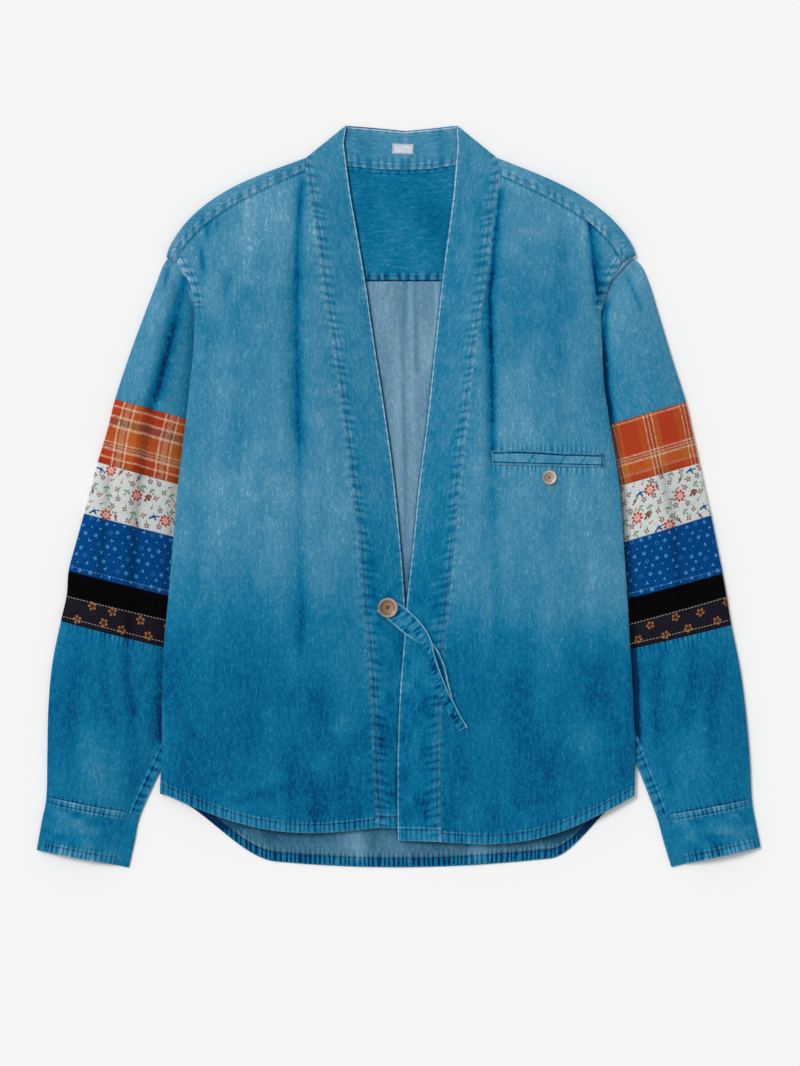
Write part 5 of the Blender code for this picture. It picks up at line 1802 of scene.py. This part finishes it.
def stitch_bars(start, end, width):
    """Points and faces of short rounded threads, one from each start to each end.

    Each is five rings of four points; the rings' radius is width / 2 times
    sqrt(1 - (2 s - 1)^4), and the thread rises by width / 3 in the middle.
    """
    s = np.linspace(0.02, 0.98, 5)
    swell = np.sqrt(1.0 - (2.0 * s - 1.0) ** 4) * width / 2.0
    along = unit(end - start)
    side = unit(np.cross(along, np.array([0.0, 0.0, 1.0])))
    up = np.cross(side, along)
    turn = np.radians([45.0, 135.0, 225.0, 315.0])
    spine = mix(start[:, None], end[:, None], s[:, None])
    spine = spine + up[:, None] * (np.sin(math.pi * s) * width / 3.0)[:, None]
    ring = side[:, None] * np.cos(turn)[:, None] + up[:, None] * np.sin(turn)[:, None]
    points = spine[:, :, None] + ring[:, None] * swell[:, None, None]
    count = len(start)
    faces = grid_faces(5, 4, closed=True)
    faces = (faces[None] + (np.arange(count) * 20)[:, None, None]).reshape(-1, 4)
    return points.reshape(-1, 3), faces


# Rows of stitches along an edge: the piece, the edge, how far in each row lies, which part
# of the edge's length it runs over (shares), and the thread.
Run = namedtuple("Run", "cloth edge insets start end thread")
PAIRED_RUNS = [Run(*row) for row in (       # on both sides of the garment, {} is the side
    ("shown_collar_{}", "left", (1.9, 4.3), 0.0, 1.0, "tan"),
    ("shown_collar_{}", "right", (2.7,), 0.0, 1.0, "tan"),
    ("shown_collar_{}", "bottom", (BAND_HEM,), 0.05, 0.95, "tan"),
    ("shown_front_{}", "bottom", (FRONT_HEM,), 0.0, 1.0, "tan"),
    ("shown_front_{}", "left", (1.8, 7.2), 0.0, 0.125, "tan"),
    ("yoke_strip_{}", "bottom", (1.6, 4.2), 0.0, 1.0, "tan"),
    ("shown_cuff_{}", "top", (1.6, 6.4), 0.0, 1.0, "tan"),
    ("shown_cuff_{}", "bottom", (CUFF_HEM,), 0.0, 1.0, "tan"),
    ("shown_sleeve_{}_dark", "top", (1.4,), 0.0, 1.0, "cream"),
    ("shown_sleeve_{}_dark", "bottom", (5.4,), 0.0, 1.0, "cream"),
    ("shown_sleeve_{}_blue", "bottom", (5.0,), 0.0, 1.0, "pale"),
)]
SINGLE_RUNS = [Run(*row) for row in (
    ("shown_yoke", "top", (1.8, 6.0), 0.0, 1.0, "tan"),
    ("shown_back", "bottom", (BACK_HEM,), 0.0, 1.0, "tan"),
    ("shown_pocket_welt", "top", (0.9,), 0.0, 1.0, "tan"),
    ("shown_pocket_welt", "bottom", (0.9,), 0.0, 1.0, "tan"),
    ("shown_pocket_welt", "left", (0.9,), 0.0, 1.0, "tan"),
    ("shown_pocket_welt", "right", (0.9, 1.9), 0.0, 1.0, "tan"),
    ("shown_pocket_welt", "left", (1.9,), 0.0, 1.0, "tan"),
    ("shown_label", "left", (0.9,), 0.1, 0.9, "cream"),
    ("shown_label", "right", (0.9,), 0.1, 0.9, "cream"),
)]
# Rows of stitches between two points: both sides of the buttonhole under the pocket's button.
Line = namedtuple("Line", "cloth start end thread")
LINES = [
    Line("shown_front_left", (154.4, 32.0), (154.4, 2.5), "cream"),
    Line("shown_front_left", (155.6, 2.5), (155.6, 32.0), "cream"),
]
# A thread: distance from stitch to stitch, and a stitch's length and thickness.
Thread = namedtuple("Thread", "pitch length width")
THREADS = {"tan": Thread(3.0, 2.1, 0.45), "cream": Thread(3.4, 2.4, 0.6),
           "pale": Thread(3.2, 2.0, 0.5)}


def stitches_along(path, thread, start=0.0, end=1.0):
    """Where the stitches of this thread start and end along a path, between two shares of it."""
    reach = path_reach(path)
    margin = thread.pitch / 2.0
    centres = np.arange(start * reach[-1] + margin, end * reach[-1] - margin, thread.pitch)
    return [np.stack([np.interp(centres + shift * thread.length, reach, path[:, k])
                      for k in range(3)], axis=1) for shift in (-0.5, 0.5)]


def run_stitches(run, thread):
    """The stitches of a run's rows; on a sleeve's rings only those that show from above."""
    for inset in run.insets:
        path = inset_line(CLOTHS[run.cloth].grid, run.edge, inset)
        if "sleeve" in run.cloth or "cuff" in run.cloth:
            path = path[path[:, 2] > TUCKED_MID - 0.3]
        yield stitches_along(path, thread, run.start, run.end)


def line_stitches(line, thread):
    """The stitches of a row between two points."""
    plan = np.linspace(line.start, line.end, 12)
    height = heights_at(cloth_tree([line.cloth]), plan)
    return stitches_along(np.concatenate([plan, height[:, None]], axis=1), thread)


def build_stitches(finishes):
    """All rows of stitches, one joined mesh for each thread."""
    runs = [run._replace(cloth=run.cloth.format(side)) for side in SIDES for run in PAIRED_RUNS]
    for name, thread in THREADS.items():
        rows = []
        for run in runs + SINGLE_RUNS:
            if run.thread == name:
                rows += run_stitches(run, thread)
        rows += [line_stitches(line, thread) for line in LINES if line.thread == name]
        starts, ends = (np.concatenate(part) for part in zip(*rows))
        lift = np.array([0.0, 0.0, CLOTH / 2.0])
        points, faces = stitch_bars(starts + lift, ends + lift, thread.width)
        stitches = add_mesh("stitches_" + name, points, faces, [finishes["thread_" + name]])
        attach(stitches, "root")


# ---------------- prints

def petal(x, y, angle, length, width, ink, point=0.8):
    """A rounded or pointed petal as an outline of ten points: it starts at x, y.

    Its half width at share s of its length is width / 2 * sin(pi * s)^point.
    """
    s = np.array([0.0, 0.12, 0.35, 0.62, 0.88, 1.0, 0.88, 0.62, 0.35, 0.12])
    half = np.sin(math.pi * s) ** point * width / 2.0
    half = half * np.array([0, 1, 1, 1, 1, 0, -1, -1, -1, -1])
    turn = math.radians(angle)
    outline = np.stack([x + s * length * math.cos(turn) - half * math.sin(turn),
                        y + s * length * math.sin(turn) + half * math.cos(turn)], axis=1)
    return outline, ink


def rosette(petals, inner, length, width, ink, heart, start=0.0):
    """Petals round a heart, each starting at the inner radius."""
    made = []
    for angle in start + np.arange(petals) * 360.0 / petals:
        turn = math.radians(angle)
        made.append((inner * math.cos(turn), inner * math.sin(turn), angle, length, width, ink))
    if heart:
        made.append((-inner * 0.9, 0.0, 0.0, inner * 1.8, inner * 1.7, heart, 0.5))
    return made


# The colours of the inks.
RED, PINK, GREEN, MAUVE, BROWN, BLUE = "c24a3a", "e59a84", "7b9a76", "85566e", "80523e", "28518c"
RUST, RUST_DARK, SKY, PALE, GOLD = "96623c", "4a2c1c", "56a0d6", "90c6ea", "c89a4a"
# The petals and leaves of each motif: where each starts, its angle, length, width and ink.
MOTIF_PETALS = {
    "big_flower": rosette(8, 2.4, 4.0, 3.0, RED, PINK) + [
        (-1.5, -6.6, 205, 4.2, 2.0, GREEN), (1.2, -6.8, 335, 4.4, 2.0, GREEN),
        (0.0, -6.2, 270, 3.4, 1.4, GREEN)],
    "small_flower": rosette(5, 0.8, 2.3, 1.9, MAUVE, GOLD, 18.0) + [
        (1.6, -1.8, 310, 3.2, 1.3, GREEN)],
    "brown_flower": rosette(4, 0.7, 2.2, 1.9, BROWN, PINK, 40.0) + [
        (-1.2, -1.7, 230, 3.0, 1.2, GREEN)],
    "sprig": [(0, -3.4, 90, 6.4, 0.8, GREEN), (0, -1, 35, 4.4, 2.1, GREEN),
              (0, -1.8, 145, 4.4, 2.1, GREEN), (0, 1.6, 90, 3.8, 1.8, GREEN)],
    "bird": [(-3.6, 0.0, 8, 6.8, 3.0, BLUE), (-3.0, 0.3, 165, 4.2, 1.5, BLUE),
             (2.4, 0.7, 35, 2.9, 2.3, BLUE), (-0.6, 0.8, 115, 4.4, 1.9, BLUE),
             (4.6, 2.0, 10, 1.3, 0.7, GOLD), (-0.4, -1.2, 262, 2.2, 0.6, BLUE)],
    "squirrel": [(-1.0, -3.6, 82, 6.6, 4.0, BROWN), (-0.4, 2.2, 60, 3.4, 2.8, BROWN),
                 (-1.6, -3.4, 150, 4.2, 2.4, BROWN), (-3.8, -1.4, 75, 5.4, 2.6, BROWN),
                 (0.6, -0.4, 10, 2.6, 1.0, BROWN), (1.2, 4.2, 85, 1.6, 0.9, BROWN)],
    "seed_head": [(0, -2.8, 90, 5.0, 3.0, MAUVE, 0.6), (0, 1.8, 90, 2.4, 2.2, RED),
                  (0, -2.8, 300, 3.4, 1.3, GREEN), (0, -2.8, 235, 3.4, 1.3, GREEN)],
    "bud": [(0, 0, 60, 2.6, 1.9, RED), (0, 0, 240, 2.8, 1.2, GREEN)],
    "star": rosette(5, 0.2, 1.9, 0.9, SKY, None, 18.0),
    "sprout": [(0, 0, 90, 1.9, 0.8, SKY), (0, 0, 210, 1.8, 0.8, PALE),
               (0, 0, 330, 1.8, 0.8, SKY)],
    "ring": [(1.2 * math.cos(a), 1.2 * math.sin(a), math.degrees(a) + 75, 1.2, 0.5, SKY)
             for a in np.linspace(0, 2 * math.pi, 7)[:-1]],
    "dot": [(-0.5, 0, 0, 1.1, 0.9, PALE, 0.5)],
    "blossom": rosette(5, 1.7, 3.6, 3.4, RUST, RUST_DARK, 15.0),
}
MOTIFS = {name: [petal(*leaf) for leaf in leaves] for name, leaves in MOTIF_PETALS.items()}

PRINT_SEED = 800            # the right sleeve's random draws, and one more for the left's
# A print: which motifs follow each other, how far apart, how large they are drawn, and the
# angles that a motif's turn is drawn between; where there are two pairs, the last one counts.
Print = namedtuple("Print", "motifs across down size turns")
ANY_TURN = (0.0, 2.0 * math.pi)
PRINTS = {
    "floral": Print(("big_flower", "small_flower", "sprig", "brown_flower", "bud", "bird",
                     "small_flower", "sprig", "squirrel", "bud", "brown_flower", "seed_head",
                     "small_flower", "big_flower", "small_flower", "sprig", "brown_flower", "bud",
                     "sprig", "small_flower", "brown_flower", "seed_head", "bud", "brown_flower",
                     "sprig", "small_flower"), 11.0, 9.2, 1.0, [ANY_TURN, (-0.7, 0.7)]),
    "blue": Print(("star", "sprout", "dot", "ring", "sprout", "star", "dot"), 10.0, 8.4, 1.1,
                  [ANY_TURN]),
    "dark": Print(("blossom",), 27.0, 17.5, 0.9, [(-0.4, 0.4)]),
}


def motif_places(pattern, width, height, dice):
    """Each motif of a print with its place and turn: rows set off by half, a little uneven."""
    rows = int(height / pattern.down) + 1
    for row in range(rows):
        for column in range(int(width / pattern.across)):
            jitter = dice.uniform(-0.16, 0.16, 2)
            x = (column + 0.5 * (row % 2) + 0.3 + jitter[0]) * pattern.across
            y = (row + 0.45 + jitter[1]) * height / rows
            turn = [dice.uniform(*limits) for limits in pattern.turns][-1]
            yield MOTIFS[pattern.motifs[(column * 5 + row) % len(pattern.motifs)]], x, y, turn


def build_print(side, piece, ink, seed):
    """A sleeve band's printed motifs, carried on the band's own grid, so they follow its folds."""
    pattern = PRINTS[piece]
    cloth = CLOTHS[f"shown_sleeve_{side}_{piece}"]
    grid = np.concatenate([cloth.grid, cloth.grid[:, :1]], axis=1)
    wear = np.concatenate([cloth.wear, cloth.wear[:, :1]], axis=1)[..., None]
    normals = unit(np.cross(np.gradient(grid, axis=0), np.gradient(grid, axis=1)))
    normals *= np.sign(normals[0, grid.shape[1] // 2, 2] + 1e-9)
    across, down = reach_across(grid)[len(grid) // 2], reach_down(grid)[:, 0]

    outlines, colours = [], []
    dice = np.random.default_rng(seed)
    for motif, x, y, turn in motif_places(pattern, across[-1], down[-1], dice):
        spin = np.array([[math.cos(turn), math.sin(turn)], [-math.sin(turn), math.cos(turn)]])
        for outline, code in motif:
            outlines.append(outline @ spin * pattern.size + np.array([x, y]))
            colours.append([*srgb(code), 1.0])
    flat = np.concatenate(outlines)
    rows = np.interp(flat[:, 1], down, np.arange(len(down)))
    columns = np.interp(flat[:, 0] % across[-1], across, np.arange(len(across)))
    on_cloth = read_grid(grid, rows, columns)
    lift = np.where(on_cloth[:, 2:] > 2.0, 0.13, 0.06) + CLOTH / 2.0
    points = on_cloth + unit(read_grid(normals, rows, columns)) * lift
    faces = np.arange(len(flat)).reshape(len(outlines), -1)
    motifs = add_mesh(f"print_{side}_{piece}", points, faces, [ink], smooth_shaded=False)
    stored = motifs.data.attributes.new("ink", "FLOAT_COLOR", "POINT")
    stored.data.foreach_set("color", np.repeat(colours, faces.shape[1], axis=0).ravel())
    # The motifs carry the band's wear and painted fold shade.
    set_value(motifs, "wear", read_grid(wear, rows, columns))
    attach(motifs, "root")


# ---------------- light and camera

LIGHT_ALL_ROUND = 0.55
LAMP_POWER = 1.75
LAMP_WIDTH = math.radians(22.0)             # the angle that it fills, so how soft shadows are
LAMP_DIRECTION = (0.62, -0.50, -1.0)
FLOOR_REACH = 4000.0


def build_stage():
    """A pale floor, a broad soft lamp from above the collar, and even light all round."""
    material, nodes, shader = new_material("floor", 1.0, gloss=0.0)
    nodes.feed(shader, {"Base Color": (0.93, 0.93, 0.93, 1.0)})
    corners = [(-FLOOR_REACH, -FLOOR_REACH, 0), (FLOOR_REACH, -FLOOR_REACH, 0),
               (FLOOR_REACH, FLOOR_REACH, 0), (-FLOOR_REACH, FLOOR_REACH, 0)]
    floor = add_mesh("floor", corners, [(0, 1, 2, 3)], [material])

    world = bpy.data.worlds.new("soft_light")
    bpy.context.scene.world = world
    world.use_nodes = True
    Nodes(world.node_tree).feed(world.node_tree.nodes["Background"],
                                {"Color": (1.0, 1.0, 1.0, 1.0), "Strength": LIGHT_ALL_ROUND})

    lamp = bpy.data.lights.new("soft_lamp", "SUN")
    lamp.energy = LAMP_POWER
    lamp.angle = LAMP_WIDTH
    lamp_object = bpy.data.objects.new("soft_lamp", lamp)
    bpy.context.scene.collection.objects.link(lamp_object)
    lamp_object.rotation_euler = Vector(LAMP_DIRECTION).to_track_quat("-Z", "Y").to_euler()


VIEW_CENTRE = (1.5, -38.0)  # what lies in the middle of the picture
VIEW_HEIGHT = 1098.0        # how much it takes in from top to bottom,
VIEW_LEVEL = 8.0            # at this height above the surface
LENS = 85.0
SENSOR = 36.0


def build_camera():
    """A camera straight above the garment, its picture's upper edge towards the collar."""
    camera = bpy.data.cameras.new("camera")
    camera.lens = LENS
    camera.sensor_width = SENSOR
    camera.sensor_fit = "AUTO"
    camera_object = bpy.data.objects.new("camera", camera)
    distance = VIEW_HEIGHT * LENS / SENSOR
    camera_object.location = (VIEW_CENTRE[0] * MM, VIEW_CENTRE[1] * MM, (distance + VIEW_LEVEL) * MM)
    bpy.context.scene.collection.objects.link(camera_object)
    bpy.context.scene.camera = camera_object


def clear_scene():
    """Remove what a new file starts with."""
    for item in list(bpy.data.objects):
        bpy.data.objects.remove(item, do_unlink=True)


def make_finishes():
    """All materials of cloth, print and thread, by name."""
    weave = weave_group()
    shade = shade_group()
    # The washed dye, with the painted shade of the folds and gathers in it.
    dye = dye_group(weave, gathers_group())
    finishes = {"denim": denim_material(dye), "denim_inside": inside_material(dye),
                "printed": ink_material(shade)}
    for side in SIDES:
        finishes["plaid_" + side] = check_material(weave, shade, side)
    for name, (dark, pale, roughness, sheen) in PLAIN_CLOTHS.items():
        finishes[name] = plain_cloth(name, weave, shade, dark, pale, roughness, sheen)
    for name, code in THREAD_COLOURS.items():
        finishes["thread_" + name] = thread_material("thread_" + name, code)
    return finishes


def build_garment(finishes):
    """All pieces, each after what it is laid on or sewn to."""
    build_back([finishes["denim_inside"]])
    build_yoke([finishes["denim"]])
    for side in SIDES:
        build_sleeve(side, finishes)
        build_front(side, [finishes["denim"], finishes["denim_inside"]])
        build_collar(side, [finishes["denim"]])
    build_pocket_welt(finishes["denim"])
    build_label(finishes["label_cloth"])
    build_tab(finishes["denim"])
    for kind in BUTTONS:
        build_button(kind, horn_material(kind), finishes["thread_tan"])
    build_stitches(finishes)
    for number, side in enumerate(SIDES):
        for piece in PRINTS:
            build_print(side, piece, finishes["printed"], PRINT_SEED + number)


def main():
    """Clear the scene, load the frame, dress it, light it, and set the camera above it."""
    clear_scene()
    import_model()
    bpy.context.scene.view_settings.view_transform = "Standard"
    build_garment(make_finishes())
    build_stage()
    build_camera()


main()
